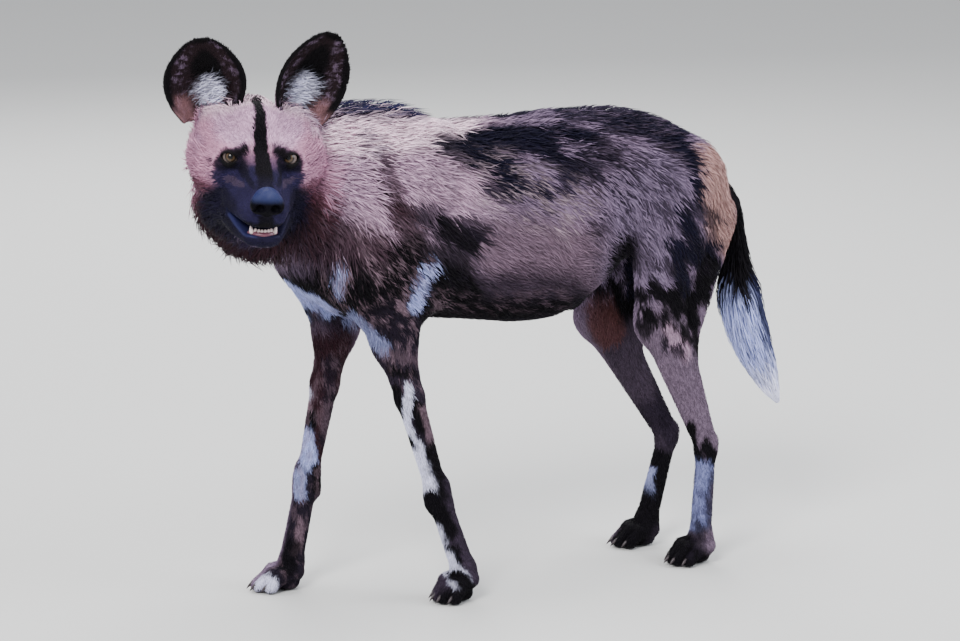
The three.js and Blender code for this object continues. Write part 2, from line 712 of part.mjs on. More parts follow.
// Claws: short bent cones at the toe tips.
function clawSolid(leg, place) {
  const { tip, bend } = toeLine(place, leg.reach, leg.knuckle[2]);
  const root = new THREE.Vector3(...tip).add(new THREE.Vector3(0, -4, 2));
  const forward = new THREE.Vector3(tip[0] - bend[0], tip[1] - bend[1], 0).normalize();
  const point = root.clone().addScaledVector(forward, CLAW_LENGTH).add(new THREE.Vector3(0, 0, -7));
  const direction = point.clone().sub(root).normalize();
  const cone = new THREE.ConeGeometry(3.4, CLAW_LENGTH + 6, 6);
  const turn = new THREE.Quaternion().setFromUnitVectors(new THREE.Vector3(0, 1, 0), direction);
  cone.applyQuaternion(turn);
  const centre = root.clone().addScaledVector(direction, (CLAW_LENGTH - 2) / 2);
  cone.translate(...centre.toArray());
  return solidOfGeometry(cone, pawFrame(leg));
}

// Assembly
const MATERIALS = {
  tanCoat: { color: 0xa07a68, roughness: 0.9 },
  darkCoat: { color: 0x1d1820, roughness: 0.9 },
  mottledCoat: { color: 0x5a4844, roughness: 0.9 },
  paleCoat: { color: 0xb9aeb8, roughness: 0.9 },
  brushCoat: { color: 0x6d6673, roughness: 0.9 },
  faceSkin: { color: 0x2a2433, roughness: 0.8 },
  noseSkin: { color: 0x1b1c24, roughness: 0.35 },
  eye: { color: 0x4a2f18, roughness: 0.08 },
  teeth: { color: 0xd8cfc0, roughness: 0.3 },
  claw: { color: 0x17141a, roughness: 0.4 },
};
const dog = new THREE.Group();
dog.position.set(...FRAME_SHIFT);
const material = Object.fromEntries(
  Object.entries(MATERIALS).map(([name, look]) => [name, new THREE.MeshStandardMaterial({ ...look, metalness: 0 })]),
);
function addNode(name, solid, look) {
  const mesh = new THREE.Mesh(geometryOfSolid(solid), material[look]);
  mesh.name = name;
  dog.add(mesh);
}

addNode('trunk', trunkSolid(), 'mottledCoat');
addNode('neck', neckSolid(), 'tanCoat');

const headRoom = headAndNape(GAP);
let head = side(headAndNape(), ...HEAD_CUT);
for (const s of [-1, 1]) head = head.subtract(eyeSolid(s, GAP));
head = head.subtract(noseSolid(GAP));
head = head.subtract(mouthGap());
const jaw = jawPart(head, 0);
head = biggest(head.subtract(jawPart(headRoom, GAP)));
const teeth = teethSolid();
addNode('head', head, 'tanCoat');
addNode('jaw', biggest(jaw.subtract(teeth)), 'faceSkin');
addNode('teeth_lower', teeth, 'teeth');
addNode('nose', noseSolid(), 'noseSkin');
for (const [name, s] of [['left', 1], ['right', -1]]) {
  addNode('eye_' + name, eyeSolid(s), 'eye');
  const ear = side(earShell(EARS[name]), ...HEAD_CUT).subtract(headRoom);
  addNode('ear_' + name, biggest(ear), 'darkCoat');
}
addNode('tail', biggest(side(tailSolid(), ...TAIL_CUT)), 'brushCoat');

for (const [group, legs, isFore] of [['fore', FORE_LEGS, true], ['hind', HIND_LEGS, false]])
  for (const [name, leg] of Object.entries(legs)) {
    const { upper, lower, paw, pawRoom } = legSolids(leg, isFore);
    const label = group + '_' + name + '_';
    addNode(label + 'upper', upper, 'mottledCoat');
    addNode(label + 'lower', lower, 'paleCoat');
    addNode(label + 'paw', paw, 'darkCoat');
    TOES.forEach((place, i) => {
      addNode(label + 'claw_' + (i + 1), biggest(clawSolid(leg, place).subtract(pawRoom)), 'claw');
    });
  }

export default dog;
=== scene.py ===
# A life-size African wild dog in one pose. One skin lies inside the solids, a coat of locks covers it, and
# the eyes, the nose, the teeth and the claws are pieces of their own.
# Shapes are worked out in millimetres in the animal's own frame, whose origin lies at SHIFT in the model's.
import json
import math

import bpy
import numpy as np
from mathutils import Matrix, Vector

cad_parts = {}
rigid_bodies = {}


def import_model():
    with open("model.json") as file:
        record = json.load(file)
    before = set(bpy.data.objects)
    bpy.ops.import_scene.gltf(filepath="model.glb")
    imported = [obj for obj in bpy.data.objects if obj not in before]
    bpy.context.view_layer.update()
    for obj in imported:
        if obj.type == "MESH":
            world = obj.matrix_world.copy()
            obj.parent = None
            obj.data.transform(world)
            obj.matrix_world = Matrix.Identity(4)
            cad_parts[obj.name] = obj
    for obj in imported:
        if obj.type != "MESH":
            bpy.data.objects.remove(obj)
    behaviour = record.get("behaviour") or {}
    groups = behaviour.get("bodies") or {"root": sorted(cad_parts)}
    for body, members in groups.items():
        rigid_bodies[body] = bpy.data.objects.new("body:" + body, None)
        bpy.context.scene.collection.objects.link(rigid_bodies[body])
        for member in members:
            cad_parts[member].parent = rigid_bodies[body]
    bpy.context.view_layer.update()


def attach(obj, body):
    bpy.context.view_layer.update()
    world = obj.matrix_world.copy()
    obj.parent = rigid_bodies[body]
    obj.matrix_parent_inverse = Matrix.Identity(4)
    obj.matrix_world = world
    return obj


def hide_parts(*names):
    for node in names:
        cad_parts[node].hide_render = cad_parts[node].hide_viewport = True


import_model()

SHIFT = np.array([-46.3, -7.3, 0.0])
# Steps of the skin's grid and of the nose's, and the share of the locks that are made
FINE = 1.7
COARSE = 4.0
NOSE_STEP = 0.9
DENSITY = 1.0
# Number of locks and seed of each piece of the coat
LOCKS = dict(
    trunk_left=(17000, 101), trunk_right=(17000, 102), neck=(19000, 103), fore_legs=(13000, 104),
    hind_legs=(15000, 105), face=(13500, 106), ruff_left=(8500, 107), ruff_right=(8500, 110),
    ears=(8500, 108), tail=(6500, 109),
)
# A field's value away from its surface
FAR = 90.0
# How many points a field is worked out for at once
BATCH = 400_000

# Joints of the skeleton, as in the solids
WITHERS = (0, -100, 655)
NECK_MIDDLE = (2, -262, 592)
NECK_END = (14, -364, 611)
HEAD_ORIGIN = np.array([90.0, -393.0, 672.0])
HEAD_TURN = 71
HEAD_NOD = -4
HEAD_TILT = 2.8
FORE_LEGS = {
    "left": dict(
        blade=(42, -105, 644), shoulder=(66, -232, 500), elbow=(74, -178, 388), wrist=(81, -112, 160),
        knuckle=(84, -72, 45), heading=10, reach=0.8,
    ),
    "right": dict(
        blade=(-42, -112, 644), shoulder=(-66, -246, 505), elbow=(-75, -198, 378), wrist=(-84, -240, 162),
        knuckle=(-86, -266, 40), heading=-6, reach=1.0,
    ),
}
HIND_LEGS = {
    "left": dict(
        hip=(54, 306, 572), knee=(82, 252, 378), heel=(66, 344, 172), knuckle=(64, 337, 38),
        heading=6, reach=0.92,
    ),
    "right": dict(
        hip=(-54, 300, 572), knee=(-80, 242, 358), heel=(-62, 352, 162), knuckle=(-60, 316, 38),
        heading=-6, reach=0.92,
    ),
}
# Height of the skin's soles over the floor
SOLE = 0.6
# Trunk outline along Y: y, back height, belly height, half width
TRUNK = np.array([
    (-300, 610, 492, 34), (-270, 668, 452, 62), (-225, 690, 422, 80), (-165, 695, 407, 90),
    (-95, 695, 402, 95), (-25, 693, 393, 99), (45, 692, 383, 104), (100, 695, 384, 105),
    (145, 694, 400, 100), (190, 692, 436, 92), (235, 686, 482, 84), (290, 668, 510, 79),
    (335, 642, 512, 68), (372, 604, 520, 48), (396, 566, 534, 24),
], float)
# Tail line down the brush: x, y, z, radius out to the hair, and the skin's radius at each of its points
TAIL = np.array([
    (0, 384, 562, 22), (4, 418, 524, 16), (6, 427, 470, 18), (7, 428, 430, 26), (8, 432, 392, 36),
    (9, 442, 352, 35), (9, 456, 312, 31), (9, 474, 272, 23), (8, 490, 240, 14), (6, 505, 214, 3),
], float)
TAIL_SKIN = np.array([19, 13, 12, 11, 11, 10, 9, 8, 6, 1.5])

# Face, in the head's frame: X to its left, -Y the way it faces, Z up, from midway between the eyes
EYE = np.array([40.0, -9.0, 4.0])
EYE_RADIUS = 11.5
LID_THICKNESS = 1.8
SLIT_HALF_WIDTH = 13.0
SLIT_UP = 6.0
SLIT_DOWN = 6.2
NOSE = np.array([0.0, -116.0, -33.0])
NOSE_RADII = np.array([22.5, 15.0, 17.0])
MOUTH_CORNER = np.array([44.0, -26.0, -68.0])
GUM_HEIGHT = -84.0
# The way both eyes look, towards the camera
GAZE = (-0.150, -0.949, 0.276)
# How far an eyeball lies inside its socket, and how high and wide its cornea is (the width in radians)
EYE_GAP = 0.12
CORNEA = 0.55
CORNEA_SPREAD = 0.42
EARS = {
    "left": dict(root=(57, 70, 40), along=(0.28, 0.12, 0.95), faces=(0.44, -0.9, 0), length=132),
    "right": dict(root=(-66, 70, 38), along=(-0.1, 0.1, 0.98), faces=(-0.1, -1, 0), length=116),
}
# Corners of a box round the whole head with its ears
HEAD_BOX = ((-140, -570, 470), (290, -190, 890))
EAR_HALF_WIDTH = 54
EAR_THICKNESS = 5
# Half the skin's thickness at an ear's tip, and how much more it is at the root
EAR_SKIN = 1.85
EAR_SKIN_ROOT = 0.7
TOES = (-1.5, -0.5, 0.5, 1.5)


def unit(v):
    v = np.asarray(v, float)
    return v / np.maximum(np.linalg.norm(v, axis=-1, keepdims=True), 1e-9)


def turned(axis, degrees):
    return np.array(Matrix.Rotation(math.radians(degrees), 3, axis))


HEAD_AXES = turned("Z", HEAD_TURN) @ turned("X", -HEAD_NOD) @ turned("Y", HEAD_TILT)


def to_head(p):
    return (p - HEAD_ORIGIN) @ HEAD_AXES


def from_head(q):
    return np.asarray(q, float) @ HEAD_AXES.T + HEAD_ORIGIN


# Smooth helpers
def curve(rows):
    """A smooth function through (t, value) rows, level past both ends."""
    rows = np.asarray(rows, float)
    t, v = rows[:, 0], rows[:, 1]
    before = np.r_[0, np.arange(len(t) - 1)]
    after = np.r_[np.arange(1, len(t)), len(t) - 1]
    slope = (v[after] - v[before]) / (t[after] - t[before])
    fine = np.linspace(t[0], t[-1], 600)
    i = np.clip(np.searchsorted(t, fine, side="right") - 1, 0, len(t) - 2)
    span = t[i + 1] - t[i]
    s = (fine - t[i]) / span
    rise = s * s * (3 - 2 * s)
    bend = span * s * (1 - s) * (slope[i] * (1 - s) - slope[i + 1] * s)
    values = v[i] + (v[i + 1] - v[i]) * rise + bend
    return lambda x: np.interp(x, fine, values)


def ramp(x, low, high):
    """0 below low, 1 above high, smooth between."""
    t = np.clip((x - low) / (high - low), 0, 1)
    return t * t * (3 - 2 * t)


def blended(base, other, share):
    """Rows of base drawn towards other by share."""
    return base * (1 - share[:, None]) + other * share[:, None]


def hashed(i, j, k, seed):
    """A repeatable value from 0 to 1 for each corner of a grid."""
    h = i * 374761393 + j * 668265263 + k * 2147483647 + seed * 1274126177
    h = (h ^ (h >> 13)) * 1274126177
    return ((h ^ (h >> 16)) & 0xFFFF) / 65535.0


def noise(p, size, seed=0):
    """Smooth noise from 0 to 1, whose features are about size across."""
    q = p / np.asarray(size, float)
    base = np.floor(q).astype(np.int64)
    f = q - base
    f = f * f * (3 - 2 * f)
    total = 0.0
    for corner in range(8):
        o = np.array([corner & 1, (corner >> 1) & 1, corner >> 2])
        weight = np.prod(np.where(o, f, 1 - f), axis=1)
        total = total + weight * hashed(*(base + o).T, seed)
    return total


def rough_noise(p, size, seed=0, layers=3):
    """Noise with finer layers added, still from 0 to 1."""
    size = np.asarray(size, float)
    total = sum(noise(p, size / 2**i, seed + 17 * i) * 0.5**i for i in range(layers))
    return total / sum(0.5**i for i in range(layers))


# Fields: distance in millimetres at each point, negative inside
def limb(p, a, b, ra, rb, flat=1.0):
    """A round-ended limb from a to b, of radius ra to rb, made flat times as wide along X."""
    a, b = np.asarray(a, float), np.asarray(b, float)
    scale = np.array([1 / flat, 1, 1])
    ab = (b - a) * scale
    pa = (p - a) * scale
    t = np.clip(pa @ ab / (ab @ ab), 0, 1)
    return np.linalg.norm(pa - t[:, None] * ab, axis=1) - (ra + (rb - ra) * t)


def ellipsoid(p, centre, radii):
    q = (p - np.asarray(centre, float)) / np.asarray(radii, float)
    k0 = np.linalg.norm(q, axis=1)
    k1 = np.linalg.norm(q / np.asarray(radii, float), axis=1)
    return k0 * (k0 - 1) / np.maximum(k1, 1e-9)


def joined(blend, *fields):
    """Fields joined with a smooth fillet of size blend."""
    d = fields[0]
    for e in fields[1:]:
        h = np.maximum(blend - np.abs(d - e), 0) / blend
        d = np.minimum(d, e) - h * h * blend / 4
    return d


def carved(d, hole, blend):
    """A field with a hole cut out of it, whose rim is rounded by blend."""
    h = np.maximum(blend - np.abs(d + hole), 0) / blend
    return np.maximum(d, -hole) + h * h * blend / 4


def both_sides(make):
    return [make(1), make(-1)]


BACK = curve(TRUNK[:, [0, 1]])
BELLY = curve(TRUNK[:, [0, 2]])
SIDE = curve(TRUNK[:, [0, 3]])


def trunk_field(p):
    y = np.clip(p[:, 1], TRUNK[0, 0], TRUNK[-1, 0])
    back, belly = BACK(y), BELLY(y)
    high = (back - belly) / 2
    up = (p[:, 2] - (back + belly) / 2) / high
    wide = SIDE(y) * (1 - 0.14 * np.clip(up, -1, 1))
    q = (np.abs(p[:, 0] / wide) ** 2.15 + np.abs(up) ** 2.15) ** (1 / 2.15)
    across = (q - 1) * np.minimum(wide, high)
    beyond = p[:, 1] - y
    return np.where(beyond == 0, across, np.hypot(np.maximum(across, 0), beyond))


def between(a, b, t):
    return tuple(np.asarray(a, float) * (1 - t) + np.asarray(b, float) * t)


def moved(a, dx=0.0, dy=0.0, dz=0.0):
    return (a[0] + dx, a[1] + dy, a[2] + dz)


def shoulder_field(p, leg):
    blade, shoulder, elbow = leg["blade"], leg["shoulder"], leg["elbow"]
    return joined(
        30,
        limb(p, blade, shoulder, 46, 46, 0.72),
        limb(p, shoulder, elbow, 46, 26, 0.78),
        limb(p, moved(blade, dy=40, dz=-80), elbow, 40, 22, 0.7),
    )


def forearm_field(p, leg):
    elbow, wrist, knuckle = leg["elbow"], leg["wrist"], leg["knuckle"]
    below = between(elbow, wrist, 0.36)
    return joined(
        12,
        limb(p, elbow, below, 26, 20, 0.9),
        limb(p, below, wrist, 20, 15.5, 0.95),
        limb(p, moved(elbow, dy=16, dz=10), below, 13, 12),
        limb(p, moved(wrist, dz=12), moved(wrist, dy=-1, dz=-12), 18, 18),
        limb(p, moved(wrist, dy=11, dz=-16), moved(wrist, dy=13, dz=-22), 9, 8),
        limb(p, wrist, knuckle, 16.5, 17.5, 0.95),
    )


def calf_of(knee):
    return (knee[0] * 0.92, knee[1] + 42, knee[2] - 50)


def haunch_field(p, leg):
    hip, knee = leg["hip"], leg["knee"]
    s = np.sign(hip[0])
    return joined(
        32,
        limb(p, hip, knee, 72, 32, 0.62),
        limb(p, (s * 42, 362, 512), calf_of(knee), 42, 21, 0.66),
        limb(p, (s * 50, 262, 600), knee, 42, 28, 0.6),
    )


def shank_field(p, leg):
    knee, heel, knuckle = leg["knee"], leg["heel"], leg["knuckle"]
    point = moved(heel, dy=9, dz=12)
    return joined(
        12,
        limb(p, knee, heel, 31, 15, 0.8),
        limb(p, calf_of(knee), point, 21, 8, 0.8),
        limb(p, point, heel, 9, 14),
        limb(p, heel, knuckle, 15.5, 16.5, 0.92),
    )


def toe_line(place, reach, height):
    """Root, bend and tip of a toe, in the paw's frame."""
    length = (50 if abs(place) < 1 else 38) * reach
    return (
        np.array([place * 9.5, 2, height * 0.72]),
        np.array([place * 12.5, -length * 0.56, max(25, height * 0.6)]),
        np.array([place * 13.5, -length, 9.5]),
    )


def paw_axes(leg):
    """The paw's directions, as columns, and the point of the floor under its knuckles."""
    return turned("Z", leg["heading"]), np.array([leg["knuckle"][0], leg["knuckle"][1], 0.0])


def paw_field(p, leg):
    axes, foot = paw_axes(leg)
    q = (p - foot) @ axes
    height = leg["knuckle"][2]
    toes = []
    for place in TOES:
        root, bend, tip = toe_line(place, leg["reach"], height)
        toes.append(joined(5, limb(q, root, bend, 13.5, 11), limb(q, bend, tip, 11, 10)))
    pad = ellipsoid(q, (0, -6, 11), (20, 18, 13))
    palm = limb(q, (0, 1, height), (0, -5, 20), 17.5, 15)
    return joined(8, palm, pad, joined(2.2, *toes))


def eye_axes(s):
    """Slit, up and outward directions of the eye on side s, as rows."""
    out = unit((s * 0.40, -0.90, 0.10))
    lean = unit(unit(np.cross((0, 0, 1), out)) + np.array([0, 0, s * 0.10]))
    lean = unit(lean - out * (lean @ out))
    return np.array([lean, np.cross(out, lean), out])


def head_field(q):
    """Head without its ears, in the head's frame, before its lids, lips and mouth are made."""
    skull = joined(
        26,
        ellipsoid(q, (0, 60, 12), (74, 66, 58)),
        limb(q, (0, 22, 34), (0, 88, 44), 26, 26),
        *both_sides(lambda s: ellipsoid(q, (s * 56, 40, -14), (38, 52, 54))),
        *both_sides(lambda s: limb(q, (s * 58, 66, 34), (s * 66, 52, -4), 27, 27)),
    )
    muzzle = joined(
        16,
        limb(q, (0, -8, -36), (0, -98, -48), 38, 24, 1.1),
        limb(q, (0, 4, 4), (0, -104, -25), 22, 15, 1.3),
        *both_sides(lambda s: limb(q, (s * 28, -18, -50), (s * 14, -94, -56), 22, 14)),
    )
    brows = joined(10, *both_sides(lambda s: limb(q, (s * 27, -8, 19), (s * 47, 10, 14), 13, 13)))
    jaw = joined(
        18,
        limb(q, (0, 30, -92), (0, -82, -91), 30, 14, 1.5),
        *both_sides(lambda s: limb(q, (s * 38, 22, -76), (s * 14, -82, -86), 24, 11)),
    )
    throat = ellipsoid(q, (0, 60, -70), (76, 58, 66))
    return joined(16, joined(20, skull, muzzle, brows), joined(20, jaw, throat))


def mouth_gap(q):
    """The space between the lips."""
    upper = np.interp(-q[:, 1], (26, 50, 80, 140), (-66.5, -70.5, -72.5, -72))
    lower = np.interp(-q[:, 1], (26, 50, 80, 140), (-69.0, -77.5, -84.5, -86))
    return np.maximum(np.maximum(q[:, 2] - upper, lower - q[:, 2]), q[:, 1] - MOUTH_CORNER[1])


def face_detail(q, d):
    """Eye sockets and lids, mouth, lips, whisker pads and the seat of the nose."""
    for s in (1, -1):
        d = joined(5, d, limb(q, (s * 17, -84, -50), (s * 24, -52, -54), 9.5, 13))
    d = carved(d, mouth_gap(q), 4)
    for s in (1, -1):
        eye = EYE * np.array([s, 1, 1])
        rows = eye_axes(s)
        b, c, a = ((q - eye) @ rows.T).T
        ball = np.linalg.norm(q - eye, axis=1)
        d = joined(9, d, ball - EYE_RADIUS - LID_THICKNESS)
        arch = 1 - (b / SLIT_HALF_WIDTH) ** 2
        slit = np.maximum(np.maximum(c - SLIT_UP * arch, -c - SLIT_DOWN * arch), -a)
        d = carved(d, slit, 2.4)
        d = np.maximum(d, EYE_RADIUS + 0.25 - ball)
    seat = ellipsoid(q, NOSE, NOSE_RADII - 2.5)
    return carved(d, seat, 1.0)


def ear_axes(ear):
    """The ways up, across and out of the front of an ear."""
    along = unit(ear["along"])
    across = unit(np.cross(along, ear["faces"]))
    return along, across, unit(np.cross(across, along))


def ear_sheet(ear, s, t):
    """Points on an ear's middle sheet in the head's frame: s from root to tip, t from -1 to 1 across."""
    along, across, front = ear_axes(ear)
    outline = [(0, 30), (0.16, 44), (0.4, EAR_HALF_WIDTH), (0.62, 51), (0.82, 36), (0.94, 20), (1, 5)]
    half = curve(outline)(s)
    bend = curve([(0, 1.5), (0.3, 1.2), (0.6, 0.85), (1, 0.5)])(s)
    radius = half / np.sin(np.minimum(bend, np.pi / 2)) + EAR_THICKNESS / 2
    turn = t * bend
    cup = radius * np.cos(turn) - (radius - EAR_THICKNESS / 2) * np.cos(bend)
    rise = -cup + 14 + 10 * s * s
    points = np.asarray(ear["root"], float) + np.outer(s * ear["length"], along)
    return points + np.outer(radius * np.sin(turn), across) + np.outer(rise, front)


def sheet_samples(ear, step):
    """Points about step apart on an ear's sheet, just inside its rim, and their places up and across it."""
    s = np.linspace(0.0, 0.985, int(118 / step))
    t = np.linspace(-0.97, 0.97, int(130 / step))
    ss, tt = np.meshgrid(s, t, indexing="ij")
    return ear_sheet(ear, ss.ravel(), tt.ravel()).astype(np.float32), ss.ravel(), tt.ravel()


EAR_SAMPLES = {name: sheet_samples(ear, 2.2) for name, ear in EARS.items()}


def nearest(q, points):
    """Distance to the nearest of the points, and which one it is."""
    best = np.empty(len(q), np.float32)
    which = np.empty(len(q), np.int64)
    squares = (points**2).sum(1)
    for i in range(0, len(q), 4096):
        block = q[i : i + 4096].astype(np.float32)
        d2 = (block**2).sum(1)[:, None] + squares[None] - 2 * block @ points.T
        which[i : i + 4096] = d2.argmin(1)
        best[i : i + 4096] = np.sqrt(np.maximum(d2.min(1), 0))
    return best, which


def ear_field(q):
    d = np.full(len(q), FAR)
    for points, s, _ in EAR_SAMPLES.values():
        low, high = points.min(0) - 22, points.max(0) + 22
        near = ((q > low) & (q < high)).all(1)
        if near.any():
            reach, which = nearest(q[near], points)
            thick = EAR_SKIN + EAR_SKIN_ROOT * (1 - s[which])
            d[near] = np.minimum(d[near], reach - thick)
    return d


def within(p, low, high, pad, make):
    """A field worked out only inside a box grown by pad, and far away elsewhere."""
    d = np.full(len(p), FAR)
    near = ((p > np.asarray(low) - pad) & (p < np.asarray(high) + pad)).all(1)
    if near.any():
        d[near] = make(p[near])
    return d


def neck_field(p, hair):
    """Neck and ruff. Hair 1 gives the outline of the coat, and 0 the skin under the ruff."""
    axes = turned("Z", HEAD_TURN - 6)
    radii = np.array([91, 58, 110]) - (1 - hair) * np.array([24, 18, 30])
    ruff = ellipsoid((p - np.array(NECK_END)) @ axes, (0, 0, 0), radii)
    return joined(
        45,
        ellipsoid(p, (0, -195, 560), (82, 90, 138)),
        ellipsoid(p, NECK_MIDDLE, (80, 76, 116)),
        limb(p, moved(WITHERS, dy=-60), (NECK_END[0], NECK_END[1] + 20, 668), 44, 40, 0.9),
        ruff,
    )


def tail_field(p, radii):
    parts = [
        limb(p, TAIL[i, :3], TAIL[i + 1, :3], radii[i], radii[i + 1], 0.85) for i in range(len(TAIL) - 1)
    ]
    return joined(14, *parts)


def coat_depth(p):
    """How deep the skin lies inside the outline: deep on the back, neck and cheeks, shallow on the legs."""
    depth = 4.0 + 3.0 * ramp(p[:, 2], 560, 690)
    depth = depth + 3.0 * ramp(-p[:, 1], 60, 220) * ramp(p[:, 2], 430, 520)
    depth = depth - 2.2 * ramp(-p[:, 2], -430, -330)
    depth = depth - 0.6 * ramp(-p[:, 2], -160, -60)
    q = to_head(p)
    head = ramp(-q[:, 1], -80, 0) * ramp(-np.linalg.norm(q * (1, 0.6, 1), axis=1), -170, -120)
    wide = np.hypot(q[:, 0], 0.9 * (q[:, 2] + 20))
    cheek = 1.6 + 12 * ramp(wide, 58, 86) * ramp(q[:, 1], -30, 12) * (1 - ramp(q[:, 2], -10, 30))
    return depth * (1 - head) + cheek * head


def leg_box(top, front, back):
    """Corners of a box round a lower leg, from the middle out past its top joint."""
    return (min(0, top[0]) - 45, front, 20), (max(0, top[0]) + 45, back, 420)


def belly_tuck(p):
    return limb(p, (0, 150, 404), (0, 205, 440), 13, 9)


def skin_field(p):
    """The whole skin: the outline of the solids, drawn in by the coat's depth."""
    trunk = within(p, (-110, -300, 380), (110, 396, 700), 45, trunk_field)
    tuck = within(p, (-14, 150, 400), (14, 205, 440), 30, belly_tuck)
    shoulders = [
        within(p, (-120, -300, 360), (120, -60, 700), 45, lambda r, leg=leg: shoulder_field(r, leg))
        for leg in FORE_LEGS.values()
    ]
    haunches = [
        within(p, (-130, 200, 280), (130, 400, 650), 45, lambda r, leg=leg: haunch_field(r, leg))
        for leg in HIND_LEGS.values()
    ]
    neck = within(p, (-110, -480, 440), (120, -60, 730), 50, lambda r: neck_field(r, 0))
    torso = joined(34, joined(40, joined(26, trunk, tuck), *shoulders), joined(30, *haunches), neck)
    forearms = [
        within(p, *leg_box(leg["elbow"], -320, -20), 30, lambda r, leg=leg: forearm_field(r, leg))
        for leg in FORE_LEGS.values()
    ]
    shanks = [
        within(p, *leg_box(leg["knee"], 190, 400), 30, lambda r, leg=leg: shank_field(r, leg))
        for leg in HIND_LEGS.values()
    ]
    d = joined(22, torso, *forearms, *shanks)
    for leg in (*FORE_LEGS.values(), *HIND_LEGS.values()):
        foot = paw_axes(leg)[1]
        paw = within(p, foot - (45, 75, 10), foot + (45, 45, 85), 14, lambda r, leg=leg: paw_field(r, leg))
        d = joined(10, d, paw)
    head = within(p, (-60, -480, 480), (240, -260, 760), 40, lambda r: head_field(to_head(r)))
    d = joined(24, d, head) + coat_depth(p)
    tail = within(p, (-30, 370, 200), (40, 520, 580), 30, lambda r: tail_field(r, TAIL_SKIN))
    d = joined(16, d, tail)
    near = ((p > HEAD_BOX[0]) & (p < HEAD_BOX[1])).all(1)
    if near.any():
        q = to_head(p[near])
        d[near] = joined(9, face_detail(q, d[near]), ear_field(q))
    return np.maximum(d, SOLE - p[:, 2])


# Turning a field into a mesh
def spaced(stops):
    """Grid lines from (start, end, step) spans."""
    lines = [np.arange(a, b - 1e-6, step) for a, b, step in stops]
    return np.r_[np.concatenate(lines), stops[-1][1]]


def sampled(field, axes, block=6):
    """The field on the grid, worked out closely only near its surface."""
    shape = tuple(len(a) for a in axes)
    picks = [np.minimum(np.arange(0, n, block) + block // 2, n - 1) for n in shape]
    rough = np.stack(np.meshgrid(*(a[i] for a, i in zip(axes, picks)), indexing="ij"), -1)
    d = field(rough.reshape(-1, 3)).reshape(rough.shape[:3])
    spans = [
        np.array([a[min(i + block, n - 1)] - a[i] for i in range(0, n, block)]) for a, n in zip(axes, shape)
    ]
    reach = 0.5 * np.sqrt(sum(s**2 for s in np.meshgrid(*spans, indexing="ij")))
    close = np.abs(d) < reach * 1.35 + 6
    for axis, n in enumerate(shape):
        d = np.repeat(d, block, axis=axis)
        close = np.repeat(close, block, axis=axis)
    d = d[: shape[0], : shape[1], : shape[2]]
    close = close[: shape[0], : shape[1], : shape[2]]
    value = (np.sign(d) * FAR).astype(np.float32)
    i, j, k = np.nonzero(close)
    for start in range(0, len(i), BATCH):
        part = slice(start, start + BATCH)
        points = np.stack([axes[0][i[part]], axes[1][j[part]], axes[2][k[part]]], -1)
        value[i[part], j[part], k[part]] = field(points)
    return value


def surface(value, axes):
    """Vertices and quads of the zero surface, one vertex in each crossed cell."""
    inside = value < 0
    low, high = slice(None, -1), slice(1, None)
    count = sum(
        inside[a, b, c].astype(np.uint8) for a in (low, high) for b in (low, high) for c in (low, high)
    )
    cells = np.argwhere((count > 0) & (count < 8))
    label = np.full(count.shape, -1, np.int32)
    label[tuple(cells.T)] = np.arange(len(cells))
    total = np.zeros((len(cells), 3))
    crossings = np.zeros(len(cells))
    for axis in range(3):
        step = np.eye(3, dtype=int)[axis]
        for corner in range(8):
            offset = np.array([corner & 1, (corner >> 1) & 1, corner >> 2])
            if offset[axis]:
                continue
            a, b = cells + offset, cells + offset + step
            va, vb = value[tuple(a.T)], value[tuple(b.T)]
            cross = (va < 0) != (vb < 0)
            t = np.where(cross, va / np.where(cross, va - vb, 1), 0)
            pa = np.stack([axes[m][a[:, m]] for m in range(3)], -1)
            pb = np.stack([axes[m][b[:, m]] for m in range(3)], -1)
            total += np.where(cross[:, None], pa + (pb - pa) * t[:, None], 0)
            crossings += cross
    vertices = total / crossings[:, None]
    quads = []
    for axis, (u, v) in enumerate(((1, 2), (2, 0), (0, 1))):
        a = np.moveaxis(inside, axis, 0)
        change = a[:-1] != a[1:]
        edge = np.argwhere(np.moveaxis(change, 0, axis))
        edge = edge[(edge[:, u] > 0) & (edge[:, v] > 0)]
        edge = edge[(edge[:, u] < inside.shape[u] - 1) & (edge[:, v] < inside.shape[v] - 1)]
        du, dv = np.eye(3, dtype=int)[u], np.eye(3, dtype=int)[v]
        ring = [label[tuple((edge - shift).T)] for shift in (du + dv, dv, 0, du)]
        ring = np.stack(ring, -1)
        outward = inside[tuple(edge.T)]
        quads.append(np.where(outward[:, None], ring, ring[:, ::-1]))
    return vertices, np.concatenate(quads)


def slope_of(field, p, step=0.6):
    """The field's slope along each axis."""
    moves = np.eye(3) * step
    return np.stack([(field(p + m) - field(p - m)) / (2 * step) for m in moves], -1)


def settled(field, p, rounds=2, reach=2.0):
    """Points moved onto the zero surface, none further than reach."""
    start = p.copy()
    for _ in range(rounds):
        d = field(p)
        g = slope_of(field, p)
        p = p - g * np.clip(d / np.maximum((g**2).sum(1), 0.05), -reach, reach)[:, None]
    moved_by = p - start
    far = np.linalg.norm(moved_by, axis=1, keepdims=True)
    return start + moved_by * np.minimum(1, reach / np.maximum(far, 1e-9))


